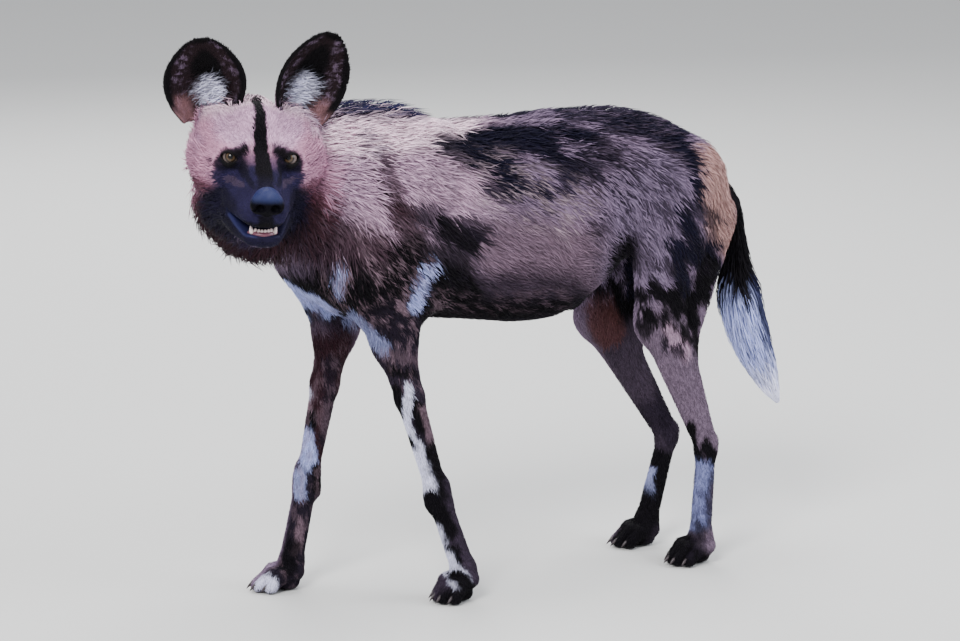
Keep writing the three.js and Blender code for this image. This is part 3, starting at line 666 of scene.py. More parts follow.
def mesh_object(name, vertices, faces, smooth=True):
    """A mesh object, from vertices in millimetres in the animal's frame and faces of equal corner counts."""
    vertices = (np.asarray(vertices) + SHIFT) / 1000
    faces = np.asarray(faces)
    mesh = bpy.data.meshes.new(name)
    mesh.vertices.add(len(vertices))
    mesh.vertices.foreach_set("co", vertices.astype(np.float32).ravel())
    mesh.loops.add(faces.size)
    mesh.loops.foreach_set("vertex_index", faces.astype(np.int32).ravel())
    mesh.polygons.add(len(faces))
    mesh.polygons.foreach_set("loop_start", np.arange(0, faces.size, faces.shape[1], dtype=np.int32))
    mesh.update(calc_edges=True)
    mesh.polygons.foreach_set("use_smooth", np.full(len(faces), smooth))
    thing = bpy.data.objects.new(name, mesh)
    bpy.context.scene.collection.objects.link(thing)
    return thing


def set_colour(thing, name, colours):
    layer = thing.data.color_attributes.new(name, "FLOAT_COLOR", "POINT")
    rgba = np.ones((len(colours), 4), np.float32)
    rgba[:, :3] = colours
    layer.data.foreach_set("color", rgba.ravel())


def set_value(thing, name, values):
    layer = thing.data.attributes.new(name, "FLOAT", "POINT")
    layer.data.foreach_set("value", np.asarray(values, np.float32))


# Skin
skin_axes = (
    spaced([(-126, -20, COARSE), (-20, 216, FINE * 1.15)]),
    spaced([(-500, -318, FINE), (-318, 516, COARSE)]),
    spaced([(-8, 560, COARSE), (560, 844, FINE * 1.1)]),
)
skin_vertices, skin_quads = surface(sampled(skin_field, skin_axes), skin_axes)
skin_vertices = settled(skin_field, skin_vertices)
skin_object = mesh_object("skin", skin_vertices, skin_quads)


def vertex_normals(vertices, quads):
    """Normals at the vertices, weighted by the quads' areas."""
    a, b, c, d = (vertices[quads[:, i]] for i in range(4))
    flat = np.cross(c - a, d - b)
    normals = np.zeros_like(vertices)
    for i in range(4):
        np.add.at(normals, quads[:, i], flat)
    return unit(normals)


skin_normals = vertex_normals(skin_vertices, skin_quads)


# Colours, given as a screen shows them
def shown(r, g, b):
    v = np.array([r, g, b]) / 255
    return np.where(v <= 0.04045, v / 12.92, ((v + 0.055) / 1.055) ** 2.4)


COLOURS = dict(
    black=shown(11, 8, 14),
    soot=shown(34, 27, 40),
    # blue_black is black with a painted blue sheen
    blue_black=shown(26, 27, 62),
    pale=shown(246, 216, 232),
    # night is black with a painted violet sheen, for the blotches on the back and rump
    night=shown(19, 17, 36),
    blue_grey=shown(122, 128, 176),
    ear_tan=shown(128, 92, 96),
    ear_dark=shown(34, 24, 28),
    tan=shown(190, 158, 182),
    grey_tan=shown(134, 114, 140),
    brown_tan=shown(120, 98, 114),
    haunch=shown(126, 110, 136),
    rust=shown(180, 142, 138),
    white=shown(226, 226, 252),
    blue_white=shown(172, 180, 232),
    maroon=shown(98, 56, 70),
    dark_brown=shown(50, 29, 37),
    fleck=shown(146, 120, 134),
    shank=shown(116, 99, 118),
    groin=shown(96, 60, 60),
    face=shown(190, 140, 166),
    forehead=shown(196, 160, 190),
    mask=shown(40, 35, 66),
    mask_dark=shown(20, 17, 33),
    rim=shown(10, 8, 11),
    # lip is the dark lips' colour with a painted blue highlight
    lip=shown(38, 40, 78),
    mouth=shown(16, 7, 10),
    pad=shown(26, 24, 30),
)


def plain(name, p):
    return np.tile(COLOURS[name], (len(p), 1))


def tinted(colour, name, share):
    """Colours drawn towards a named one by share."""
    return colour + (COLOURS[name] - colour) * share[:, None]


# The markings are laid out on a drawing of the left side, seen from its front quarter, where the camera also
# stands. One step is about 1.4 mm on the animal.
DRAWN_FROM = dict(azimuth=62, elevation=12, distance=6500, aim=(0, 0, 388), steps=4485, middle=(480, 320.5))


def sight_axes():
    """Right and up on the drawing, and the way back towards where it is seen from."""
    a, e = math.radians(DRAWN_FROM["azimuth"]), math.radians(DRAWN_FROM["elevation"])
    back = np.array([math.sin(a) * math.cos(e), -math.cos(a) * math.cos(e), math.sin(e)])
    right = np.array([math.cos(a), math.sin(a), 0])
    return right, np.cross(back, right), back


def drawn(p):
    """Each point's place on the drawing, in steps across and down."""
    right, up, back = sight_axes()
    d = p - (np.array(DRAWN_FROM["aim"]) + back * DRAWN_FROM["distance"])
    scale = DRAWN_FROM["steps"] / -(d @ back)
    across, down = DRAWN_FROM["middle"]
    return np.stack([across + scale * (d @ right), down - scale * (d @ up)], -1)


# Rows of colour, line from (across, down) to (across, down), half width and strength, laid in order.
# First come the broad areas, then the spots over them, and last the inner sides of the far legs.
BROAD_PATCHES = [
    ("tan", 372, 190, 440, 165, 62, 1.0), ("pale", 332, 134, 446, 128, 22, 1.0),
    ("brown_tan", 505, 250, 585, 262, 42, 0.9), ("haunch", 652, 190, 640, 262, 42, 1.0),
    ("rust", 712, 152, 724, 232, 17, 1.0), ("dark_brown", 320, 232, 372, 252, 26, 0.9),
    ("black", 345, 292, 398, 308, 38, 1.0), ("black", 410, 320, 470, 322, 24, 1.0),
    ("soot", 470, 306, 560, 304, 34, 0.8), ("black", 470, 326, 545, 322, 25, 1.0),
    ("black", 545, 322, 580, 310, 17, 1.0), ("black", 290, 290, 350, 310, 34, 1.0),
    ("soot", 398, 340, 430, 440, 44, 0.95), ("soot", 436, 450, 462, 600, 44, 0.9),
    # The black row from (624, 242) is painted shadow in the groin, between the belly and the far thigh.
    ("black", 624, 242, 612, 284, 12, 1.0), ("shank", 672, 340, 690, 420, 44, 1.0),
    ("shank", 700, 440, 700, 560, 30, 1.0),
]
PATCHES = [
    # The night rows are black blotches with a painted violet sheen.
    ("night", 488, 108, 560, 104, 12, 1.0), ("night", 560, 107, 650, 110, 15, 0.95),
    ("night", 648, 114, 672, 130, 12, 1.0), ("night", 434, 145, 464, 146, 5, 0.8),
    ("night", 468, 142, 528, 138, 13, 1.0), ("night", 470, 158, 506, 164, 9, 1.0),
    ("night", 494, 172, 514, 188, 10, 1.0), ("night", 536, 132, 546, 150, 10, 1.0),
    ("night", 556, 130, 586, 140, 9, 1.0), ("night", 562, 163, 574, 178, 8, 0.9),
    ("night", 534, 186, 542, 206, 5, 0.9), ("soot", 484, 190, 500, 198, 7, 0.7),
    ("night", 596, 122, 620, 128, 8, 0.9), ("night", 511, 136, 541, 146, 10, 0.9),
    ("night", 548, 146, 560, 184, 8, 0.85), ("night", 566, 160, 584, 166, 9, 0.85),
    ("soot", 595, 145, 611, 154, 9, 0.8), ("night", 508, 178, 540, 188, 9, 0.8),
    ("night", 482, 182, 495, 190, 8, 0.8), ("night", 411, 204, 438, 216, 10, 0.75),
    ("night", 440, 144, 468, 156, 10, 0.85), ("night", 630, 128, 650, 138, 9, 0.8),
    ("soot", 657, 142, 680, 160, 8, 0.75), ("night", 688, 204, 712, 212, 9, 0.8),
    ("night", 438, 226, 470, 242, 12, 0.85), ("soot", 586, 158, 604, 166, 6, 0.5),
    ("soot", 590, 222, 592, 230, 5, 0.7), ("soot", 520, 212, 526, 222, 5, 0.4),
    ("night", 632, 122, 664, 134, 10, 0.9), ("night", 664, 134, 690, 158, 8, 1.0),
    ("night", 691, 158, 697, 198, 6, 1.0), ("soot", 664, 168, 668, 190, 5, 0.5),
    ("night", 682, 210, 690, 232, 9, 1.0), ("night", 666, 241, 716, 242, 6, 1.0),
    ("night", 690, 250, 712, 264, 12, 1.0), ("night", 676, 254, 682, 288, 9, 1.0),
    ("black", 708, 262, 700, 292, 10, 1.0), ("blue_black", 362, 138, 372, 160, 6, 0.6),
    ("dark_brown", 372, 160, 392, 205, 8, 0.75), ("dark_brown", 392, 205, 405, 238, 13, 0.85),
    ("soot", 413, 205, 420, 222, 8, 0.65), ("black", 440, 226, 470, 240, 12, 0.9),
    ("soot", 462, 218, 478, 232, 9, 0.8), ("black", 400, 242, 452, 262, 16, 0.9),
    ("black", 424, 272, 462, 290, 19, 1.0), ("black", 396, 262, 424, 296, 20, 0.95),
    ("black", 470, 298, 532, 306, 8, 0.6), ("black", 638, 292, 642, 298, 6, 0.9),
    ("black", 654, 288, 658, 296, 8, 1.0), ("black", 668, 296, 678, 306, 9, 1.0),
    ("black", 646, 312, 652, 318, 7, 1.0), ("black", 664, 314, 666, 322, 6, 0.9),
    ("black", 640, 324, 646, 332, 6, 0.8), ("black", 690, 296, 694, 322, 8, 1.0),
    ("black", 684, 330, 688, 340, 5, 0.9), ("black", 696, 335, 698, 350, 5, 0.9),
    ("tan", 668, 328, 682, 350, 8, 0.6), ("soot", 663, 343, 664, 346, 5, 0.9),
    ("soot", 676, 348, 679, 352, 5, 0.9), ("black", 688, 426, 697, 456, 6, 1.0),
    ("black", 708, 446, 714, 460, 8, 1.0), ("blue_grey", 700, 470, 697, 520, 13, 0.95),
    ("soot", 712, 470, 710, 520, 5, 0.7), ("black", 680, 552, 700, 580, 24, 1.0),
    ("black", 699, 528, 701, 534, 6, 0.7), ("blue_white", 281, 281, 308, 296, 9, 1.0),
    ("blue_white", 308, 297, 345, 331, 8, 1.0), ("blue_white", 340, 262, 338, 284, 6, 0.8),
    ("black", 321, 270, 325, 288, 9, 1.0), ("blue_white", 350, 314, 384, 346, 7, 0.55),
    ("blue_white", 428, 262, 420, 268, 7, 0.95), ("blue_white", 420, 268, 411, 302, 8, 0.95),
    ("soot", 425, 282, 428, 290, 5, 0.7), ("fleck", 384, 352, 416, 358, 5, 0.3),
    ("black", 390, 366, 410, 372, 5, 0.9), ("black", 393, 388, 400, 410, 7, 1.0),
    ("white", 409, 386, 404, 428, 5, 0.95), ("white", 404, 428, 420, 448, 6, 0.95),
    ("black", 417, 400, 421, 426, 5, 1.0), ("fleck", 425, 404, 431, 440, 5, 0.5),
    ("black", 406, 434, 415, 454, 5, 1.0), ("black", 430, 446, 442, 492, 6, 1.0),
    ("white", 414, 458, 428, 490, 11, 1.0), ("black", 434, 496, 448, 530, 10, 1.0),
    ("black", 424, 510, 430, 534, 4, 1.0), ("white", 434, 528, 444, 550, 8, 1.0),
    ("black", 452, 550, 458, 562, 6, 1.0), ("black", 438, 552, 441, 566, 3, 0.9),
    ("white", 446, 560, 460, 580, 9, 0.95), ("black", 456, 576, 468, 588, 7, 1.0),
    ("black", 450, 602, 480, 612, 15, 1.0),
]
FAR_PATCHES = [
    ("dark_brown", 315, 330, 312, 480, 40, 1.0), ("soot", 300, 500, 280, 590, 40, 1.0),
    ("blue_white", 284, 300, 306, 336, 5, 0.6), ("white", 307, 360, 308, 392, 4, 0.9),
    ("fleck", 306, 398, 308, 412, 4, 0.8), ("black", 309, 412, 311, 424, 5, 1.0),
    ("blue_white", 305, 432, 309, 464, 8, 0.95), ("soot", 330, 360, 326, 440, 7, 0.8),
    ("blue_white", 298, 474, 300, 492, 6, 0.7), ("black", 318, 470, 318, 486, 7, 1.0),
    ("fleck", 300, 520, 296, 548, 4, 0.5), ("black", 292, 545, 288, 566, 9, 0.9),
    ("white", 254, 578, 268, 584, 9, 0.95), ("shank", 620, 340, 645, 420, 46, 1.0),
    # The soot row from (622, 330) is painted shade on the upper far hind leg.
    ("soot", 622, 330, 650, 400, 30, 0.75), ("soot", 655, 440, 650, 540, 40, 0.85),
    # The black row from (622, 250) is painted shadow in the groin, between the belly and the far thigh.
    ("black", 622, 250, 620, 296, 26, 1.0), ("groin", 600, 304, 606, 330, 16, 0.8),
    ("soot", 660, 380, 670, 440, 8, 0.8), ("black", 652, 455, 670, 462, 9, 1.0),
    ("black", 664, 466, 660, 512, 8, 1.0), ("blue_white", 651, 472, 648, 502, 6, 0.7),
    ("black", 640, 510, 618, 545, 26, 1.0),
]
# Where the coat is speckled, in the same kind of rows
SPECKLES = [
    ("fleck", 350, 275, 384, 296, 30, 0.45), ("fleck", 395, 320, 420, 372, 24, 0.4),
    # The night rows here lay black with a painted violet sheen.
    ("night", 480, 168, 596, 176, 34, 0.8), ("night", 600, 150, 660, 200, 30, 0.45),
    ("fleck", 420, 300, 560, 300, 12, 0.4), ("black", 648, 300, 690, 322, 30, 0.9),
    ("black", 660, 262, 700, 276, 22, 0.6), ("soot", 470, 280, 560, 296, 22, 0.5),
    ("grey_tan", 560, 120, 660, 126, 15, 0.35), ("soot", 560, 200, 610, 250, 34, 0.35),
    ("soot", 620, 160, 680, 230, 46, 0.6), ("soot", 450, 170, 600, 190, 44, 0.35),
    ("pale", 480, 180, 560, 205, 30, 0.25), ("fleck", 328, 232, 400, 262, 26, 0.35),
    ("fleck", 318, 320, 316, 460, 26, 0.25), ("fleck", 300, 500, 290, 580, 30, 0.2),
    ("soot", 692, 480, 696, 540, 22, 0.5),
]


def painted(colour, place, rows, soft, cover=1.0):
    """Lays rows of patches over the colours, in order."""
    for name, ax, ay, bx, by, half, strength in rows:
        start = np.array([ax, ay], float)
        line = np.array([bx - ax, by - ay], float)
        t = np.clip(((place - start) @ line) / max(line @ line, 1e-9), 0, 1)
        far = np.linalg.norm(place - start - t[:, None] * line, axis=1) / half
        colour = tinted(colour, name, strength * cover * (1 - ramp(far, 1 - soft, 1 + soft)))
    return colour


def wavered(p, size, amount, seed):
    """Shifts across and down that make the edges of the markings ragged."""
    return amount * np.stack([rough_noise(p, size, seed + 50 * i, 2) - 0.5 for i in range(2)], -1)


def mane_share(p):
    """1 along the crest of the neck."""
    crest = (1 - ramp(np.abs(p[:, 0] - 4), 14, 28)) * ramp(p[:, 2], 650, 670)
    crest = crest * ramp(p[:, 1], -285, -255) * (1 - ramp(p[:, 1], -140, -108))
    return crest * ramp(rough_noise(p, (16, 22, 40), 97, 2), 0.2, 0.42)


def body_colours(p):
    """The left side as drawn, the right as its mirror image shifted, and the far legs' inner sides."""
    chest = ramp(-p[:, 1], 225, 255) * ramp(-p[:, 2], -560, -520) * ramp(p[:, 2], 380, 400)
    left = np.maximum(ramp(p[:, 0], -12, 12), chest)
    leg = 1 - ramp(p[:, 2], 372, 410)
    ragged = wavered(p, 26, 9, 3) + wavered(p, 8, 6, 5)
    speckle = rough_noise(p, (7, 8, 12), 9, 2)

    def side(place, rows, broad):
        colour = painted(plain("grey_tan", p), place, broad, 0.45)
        colour = painted(colour, place, rows, 0.28)
        return painted(colour, place, SPECKLES, 0.4, ramp(speckle, 0.52, 0.62))

    near = side(drawn(p) + ragged, PATCHES, BROAD_PATCHES)
    mirrored = drawn(p * (-1, 1, 1)) + ragged + wavered(p, 150, 70, 21) + wavered(p, 50, 26, 25)
    other = side(mirrored, PATCHES, BROAD_PATCHES)
    far_leg = side(drawn(p) + ragged, FAR_PATCHES, [])
    middle = np.where(p[:, 1] < 0, -88, -74)
    faces_left = leg * ramp(p[:, 0] - middle, -8, 8)
    colour = blended(blended(other, far_leg, faces_left), near, left)
    deep = BELLY(p[:, 1]) - p[:, 2]
    between_legs = ramp(p[:, 1], -150, -120) * ramp(-p[:, 1], -250, -200)
    under = ramp(deep, -34, -10) * (1 - ramp(deep, 4, 24)) * between_legs
    colour = tinted(colour, "black", under)
    inner = leg * ramp(-np.abs(p[:, 0]), -70, -52) * left * ramp(p[:, 2], 200, 300)
    colour = tinted(colour, "soot", 0.7 * inner)
    # The mane along the crest is black with a painted blue sheen.
    return tinted(colour, "blue_black", mane_share(p))


# Rows of the same kind on the face, in millimetres out from its middle and up from the eyes
FACE_ROWS = [
    ("forehead", 0, 60, 30, 52, 34, 0.8), ("maroon", 74, -58, 90, -80, 26, 0.9),
    ("dark_brown", 0, -118, 64, -112, 46, 1.0), ("dark_brown", 66, -90, 90, -120, 28, 0.85),
    ("maroon", 0, -168, 60, -158, 22, 0.5), ("mask", 0, -26, 0, -80, 38, 1.0),
    ("mask", 30, -26, 40, -66, 27, 1.0), ("mask", 34, -16, 50, -20, 14, 0.95),
    ("mask_dark", 50, -52, 48, -92, 15, 0.75), ("mask_dark", 0, -84, 26, -88, 22, 0.7),
    ("mask_dark", 0, -6, 0, -22, 12, 0.8), ("fleck", 30, -24, 44, -26, 4, 0.16),
    # The two rim rows under the nose and along the upper lip are painted shadow of the mouth.
    ("rim", 0, -56, 0, -64, 11, 0.9), ("rim", 0, -68, 20, -69, 6, 0.85),
    ("grey_tan", 0, -107, 16, -105, 4, 0.4), ("mask_dark", 24, 15, 50, 4, 9, 0.95),
    ("mask_dark", 30, 0, 52, -6, 11, 0.95), ("rim", 22, 16, 40, 8, 5, 0.9),
    ("mask_dark", 20, -14, 30, -6, 5, 0.8),
]
# Half width of the forehead's stripe by height
STRIPE = curve([(-10, 11.0), (12, 10.5), (36, 9.2), (60, 7.4), (76, 8.5), (90, 4.5)])


def eye_distance(q):
    """Distance from the middle of the nearer eye."""
    return np.linalg.norm(np.stack([np.abs(q[:, 0]), q[:, 1], q[:, 2]], -1) - EYE, axis=1)


def head_colours(q):
    """Colours of the face and ruff in the head's frame."""
    ragged = wavered(q, 12, 7, 31) + wavered(q, 5, 4, 35)
    place = np.stack([np.abs(q[:, 0]), q[:, 2]], -1) + ragged
    colour = painted(plain("face", q), place, FACE_ROWS, 0.28)
    colour = colour * (1 + 0.5 * (rough_noise(q, (5, 5, 5), 37, 3) - 0.5))[:, None]
    low = ramp(-q[:, 2] + ragged[:, 0] * 2, 34, 84)
    ruff = tinted(plain("face", q), "maroon", ramp(low, 0.1, 0.6))
    ruff = ruff + (COLOURS["dark_brown"] - COLOURS["maroon"]) * ramp(low, 0.5, 1)[:, None]
    ruff = tinted(ruff, "pale", ramp(q[:, 2], 30, 60))
    colour = blended(colour, ruff, ramp(q[:, 1], 24, 70))
    x = q[:, 0] + 2 * (noise(q, 20, 41) - 0.5) - 2.0 * ramp(q[:, 2], 50, 80)
    wide = STRIPE(q[:, 2]) * (1 + 0.4 * (noise(q, 8, 43) - 0.5))
    stripe = (1 - ramp(np.abs(x), wide - 1.6, wide + 1.6)) * ramp(q[:, 2], -16, 0) * ramp(-q[:, 1], -86, -66)
    colour = tinted(colour, "black", stripe)
    gap = mouth_gap(q)
    # The lips are drawn towards the blue-grey lip colour, fully on the right side and a quarter as much on
    # the left: a painted highlight on the dark lips.
    lips = (1 - ramp(gap, 1.5, 4.5)) * ramp(-q[:, 1], 22, 34) * (0.25 + 0.75 * ramp(-q[:, 0], 0, 20))
    colour = tinted(colour, "lip", lips)
    colour = tinted(colour, "mouth", (1 - ramp(gap, -1.5, 0.8)) * ramp(-q[:, 1], 24, 32))
    return tinted(colour, "rim", 1 - ramp(eye_distance(q), EYE_RADIUS + 2.5, EYE_RADIUS + 5))


def ear_places(q, normals):
    """Which ear a point is on (0 left, 1 right), its place up and across it, and 1 on the inner side."""
    best = np.full(len(q), FAR)
    up, across, inner, which_ear = (np.zeros(len(q)) for _ in range(4))
    for i, (name, (points, s, t)) in enumerate(EAR_SAMPLES.items()):
        far, which = nearest(q, points)
        _, side, front = ear_axes(EARS[name])
        bend = 1.2 * t[which]
        facing = normals @ front * np.cos(bend) - normals @ side * np.sin(bend)
        closer = far < best
        best = np.where(closer, far, best)
        up = np.where(closer, s[which], up)
        across = np.where(closer, t[which], across)
        inner = np.where(closer, ramp(facing, -0.25, 0.25), inner)
        which_ear = np.where(closer, i, which_ear)
    return which_ear, up, across, inner


def ear_colours(q, which, up, across, inner):
    """Inside: a white tuft, a dark hollow over it, a tan pouch on the outer rim. Outside: dark."""
    streak = rough_noise(q, (7, 7, 3), 51, 2)
    wobble = 0.16 * (rough_noise(q, 14, 53, 2) - 0.5)
    edge = np.maximum(np.abs(across), ramp(up, 0.62, 1.06)) + wobble
    flecks = ramp(streak, 0.5, 0.75) * ramp(np.abs(across), 0.3, 0.6) * 0.55
    inside = tinted(plain("ear_dark", q), "grey_tan", flecks)
    hollow = 1 - ramp(np.hypot((up - 0.62) / 0.26, (across - 0.05) / 0.42) + wobble, 0.7, 1.1)
    inside = tinted(inside, "rim", hollow)
    tuft = 1 - ramp(np.hypot((up - 0.3) / 0.21, across / 0.33) + 2.4 * wobble, 0.65, 1.2)
    grey = 0.72 + 0.28 * ramp(rough_noise(q, (9, 9, 4), 57, 2), 0.35, 0.6)
    inside = inside + (COLOURS["white"] * grey[:, None] - inside) * tuft[:, None]
    pouch = ramp(-up, -0.34, -0.2) * ramp(across * np.where(which == 1, -1, 1), 0.2, 0.55)
    inside = tinted(inside, "ear_tan", 0.75 * pouch)
    inside = tinted(inside, "rim", ramp(edge, 0.74, 0.9) * ramp(up, 0.05, 0.22))
    outside = tinted(plain("soot", q), "tan", 1 - ramp(up, 0.05, 0.3))
    outside = tinted(outside, "rim", ramp(edge, 0.7, 0.9))
    return blended(outside, inside, inner)


def tail_places(p):
    """How far along the tail's line a point lies, the nearest point of that line, and its distance."""
    best = np.full(len(p), 1e9)
    along = np.zeros(len(p))
    foot = np.zeros((len(p), 3))
    for i in range(len(TAIL) - 1):
        a, b = TAIL[i, :3], TAIL[i + 1, :3]
        t = np.clip((p - a) @ (b - a) / ((b - a) @ (b - a)), 0, 1)
        near = a + t[:, None] * (b - a)
        far = np.linalg.norm(p - near, axis=1)
        closer = far < best
        best = np.where(closer, far, best)
        along = np.where(closer, i + t, along)
        foot = np.where(closer[:, None], near, foot)
    return along, foot, best


def tail_colours(p):
    """Black at the root, blue-white below with dark streaks behind, and white at the tip."""
    along, foot, _ = tail_places(p)
    around = unit(p - foot + 1e-6)
    ragged = 0.9 * (rough_noise(p, (6, 6, 24), 61, 2) - 0.5)
    rear = ramp(around[:, 1] * 0.9 - around[:, 0] * 0.35 + ragged, -0.25, 0.35)
    root = 1 - ramp(along, 0.2, 0.9)
    colour = tinted(plain("black", p), "brown_tan", 0.6 * root * ramp(-around[:, 2], -0.6, 0.2))
    colour = tinted(colour, "blue_white", ramp(along + ragged * 1.6, 3.0, 3.7))
    streaks = rear * ramp(along, 2.5, 3.2) * (1 - ramp(along + ragged, 5.3, 6.3))
    # The streaks are black with a painted blue sheen.
    colour = tinted(colour, "blue_black", 0.92 * streaks)
    return tinted(colour, "white", ramp(along + ragged, 5.6, 6.8))


def head_share(p):
    """1 on the head and ruff, 0 on the body."""
    q = to_head(p)
    far = np.linalg.norm((q - (0, 44, -36)) / (100, 92, 132), axis=1)
    share = 1 - ramp(far + 0.25 * (noise(p, 18, 71) - 0.5), 0.86, 1.1)
    front = ramp(-q[:, 1], -30, -5) * (np.abs(q[:, 0]) < 112) * (q[:, 2] > -180)
    share = np.maximum(share, front)
    high = np.nonzero((q[:, 2] > 30) & (q[:, 1] < 150) & (q[:, 1] > 0))[0]
    share[high] = np.maximum(share[high], ear_field(q[high]) < 4)
    return share


def on_ear(q):
    return ear_field(q) < 2.2


def on_tail(p):
    along, _, far = tail_places(p)
    return (far < 30) & (along > 0.15) & (p[:, 1] > 388)


def marks(p, normals):
    """The coat's colour at points of the skin."""
    share = head_share(p)
    colour = body_colours(p)
    q = to_head(p)
    near = share > 0
    face = np.zeros_like(colour)
    face[near] = head_colours(q[near])
    colour = blended(colour, face, share)
    ears = near & on_ear(q)
    if ears.any():
        which, up, across, inner = ear_places(q[ears], normals[ears] @ HEAD_AXES)
        colour[ears] = ear_colours(q[ears], which, up, across, inner)
    tail = on_tail(p)
    if tail.any():
        colour[tail] = tail_colours(p[tail])
    soles = ramp(-p[:, 2], -9, -4) * ramp(-normals[:, 2], 0.2, 0.7)
    return tinted(colour, "pad", soles)


def bareness(p):
    """1 where the skin has no hair: lids, lips, mouth, nose and soles."""
    q = to_head(p)
    near = head_share(p) > 0
    bare = 1 - ramp(eye_distance(q), EYE_RADIUS + 2.0, EYE_RADIUS + 4.0)
    bare = np.maximum(bare, (1 - ramp(mouth_gap(q), 2.0, 4.5)) * ramp(-q[:, 1], 22, 34))
    nose = ellipsoid(q, NOSE, NOSE_RADII)
    bare = np.where(near, np.maximum(bare, 1 - ramp(nose, 1.0, 4.0)), 0)
    return np.maximum(bare, ramp(-p[:, 2], -7, -4))


set_colour(skin_object, "mark", marks(skin_vertices, skin_normals))
set_value(skin_object, "bare", bareness(skin_vertices))
set_value(skin_object, "leg", 1 - ramp(skin_vertices[:, 2], 330, 430))


# Lie of the coat
def along_skin(way, normals):
    return unit(way - normals * (way * normals).sum(1, keepdims=True))


def lie_of(p, normals, seed=80):
    """The way the hair points at each root, along the skin."""
    count = len(p)
    side = np.sign(p[:, 0])
    y, z = p[:, 1], p[:, 2]
    down = ramp(BACK(y) - z, 10, 110) * (1 - ramp(BACK(y) - z, 190, 290))
    way = np.stack([0.2 * side, np.ones(count), -0.12 - 0.62 * down], -1)
    haunch = ramp(y, 170, 250) * ramp(-z, -640, -560)
    way = blended(way, np.array([0, 0.45, -1.0]), haunch * 0.85)
    shoulder = ramp(-y, 40, 160) * ramp(-z, -660, -580)
    way = blended(way, np.array([0, 0.7, -0.8]), shoulder)
    chest = ramp(-y, 215, 265) * ramp(-z, -600, -520)
    way = blended(way, np.array([0, 0.1, -1.0]), chest)
    leg = 1 - ramp(z, 380, 440)
    way = blended(way, np.array([0, 0.22, -1.0]), leg)
    belly = ramp(y, -150, -120) * (1 - ramp(y, 200, 240)) * (z > BELLY(y) - 12)
    way = blended(way, np.array([0, 1.0, -0.1]), belly * leg)
    q = to_head(p)
    x = q[:, 0]
    out = np.stack([x / 60, np.full(count, 0.9), (q[:, 2] + 18) / 70], -1)
    muzzle = np.stack([x / 90, np.ones(count), np.full(count, 0.1)], -1)
    face = blended(out, muzzle, ramp(-q[:, 1], 10, 60))
    radial = unit(np.stack([x, np.zeros(count), q[:, 2] + 24], -1))
    ruff = radial + np.array([0, 0.75, -0.35])
    face = blended(face, ruff, ramp(q[:, 1], 10, 50) * ramp(np.hypot(x, q[:, 2] + 24), 50, 90))
    way = blended(way, unit(face) @ HEAD_AXES.T, ramp(head_share(p), 0.1, 0.7))
    sway = np.stack([rough_noise(p, 34, seed + i, 2) - 0.5 for i in range(3)], -1)
    return along_skin(unit(way) + 0.75 * sway, normals)


def ruffled_lie(roots, normals, amount, rng):
    """The lie with a chance turn at each root."""
    return along_skin(unit(lie_of(roots, normals) + amount * rng.normal(size=roots.shape)), normals)


def morton(p, cell=4.0):
    """An order of places in which neighbours stay near each other."""
    steps = ((p - p.min(0)) / cell).astype(np.int64)
    code = np.zeros(len(p), np.int64)
    for bit in range(9):
        for axis in range(3):
            code |= ((steps[:, axis] >> bit) & 1) << (3 * bit + axis)
    return code


quad_corners = skin_vertices[skin_quads]
quad_middles = quad_corners.mean(1)
quad_areas = 0.5 * np.linalg.norm(
    np.cross(quad_corners[:, 2] - quad_corners[:, 0], quad_corners[:, 3] - quad_corners[:, 1]), axis=1
)


def roots_on(chosen, weight, count, rng):
    """Evenly spread roots on the chosen quads of the skin, as points and normals."""
    index = np.nonzero(chosen)[0]
    index = index[np.argsort(morton(quad_middles[index]), kind="stable")]
    total = np.cumsum(quad_areas[index] * weight[index])
    picks = (np.arange(count) + rng.random(count)) / count * total[-1]
    quad = skin_quads[index[np.minimum(np.searchsorted(total, picks), len(index) - 1)]]
    u, v = rng.random((2, count, 1))
    shares = ((1 - u) * (1 - v), u * (1 - v), u * v, (1 - u) * v)
    points = sum(skin_vertices[quad[:, i]] * shares[i] for i in range(4))
    normals = unit(sum(skin_normals[quad[:, i]] * shares[i] for i in range(4)))
    return points, normals


# Locks. A root is sunk this far under the skin, and a lock has a patch of this size on its piece's chart.
# No lock of the body reaches lower than LOCK_LOWEST.
SUNK = 0.9
PATCH = 0.003
LOCK_LOWEST = 0.4
# Where a lock's rings stand along it, and how wide they are, by the number of rings
RING_AT = {2: (0.0, 0.5), 3: (0.0, 0.34, 0.7), 4: (0.0, 0.25, 0.52, 0.78)}
RING_WIDTH = {2: (0.8, 1.0), 3: (0.75, 1.0, 0.7), 4: (0.7, 1.0, 0.9, 0.6)}


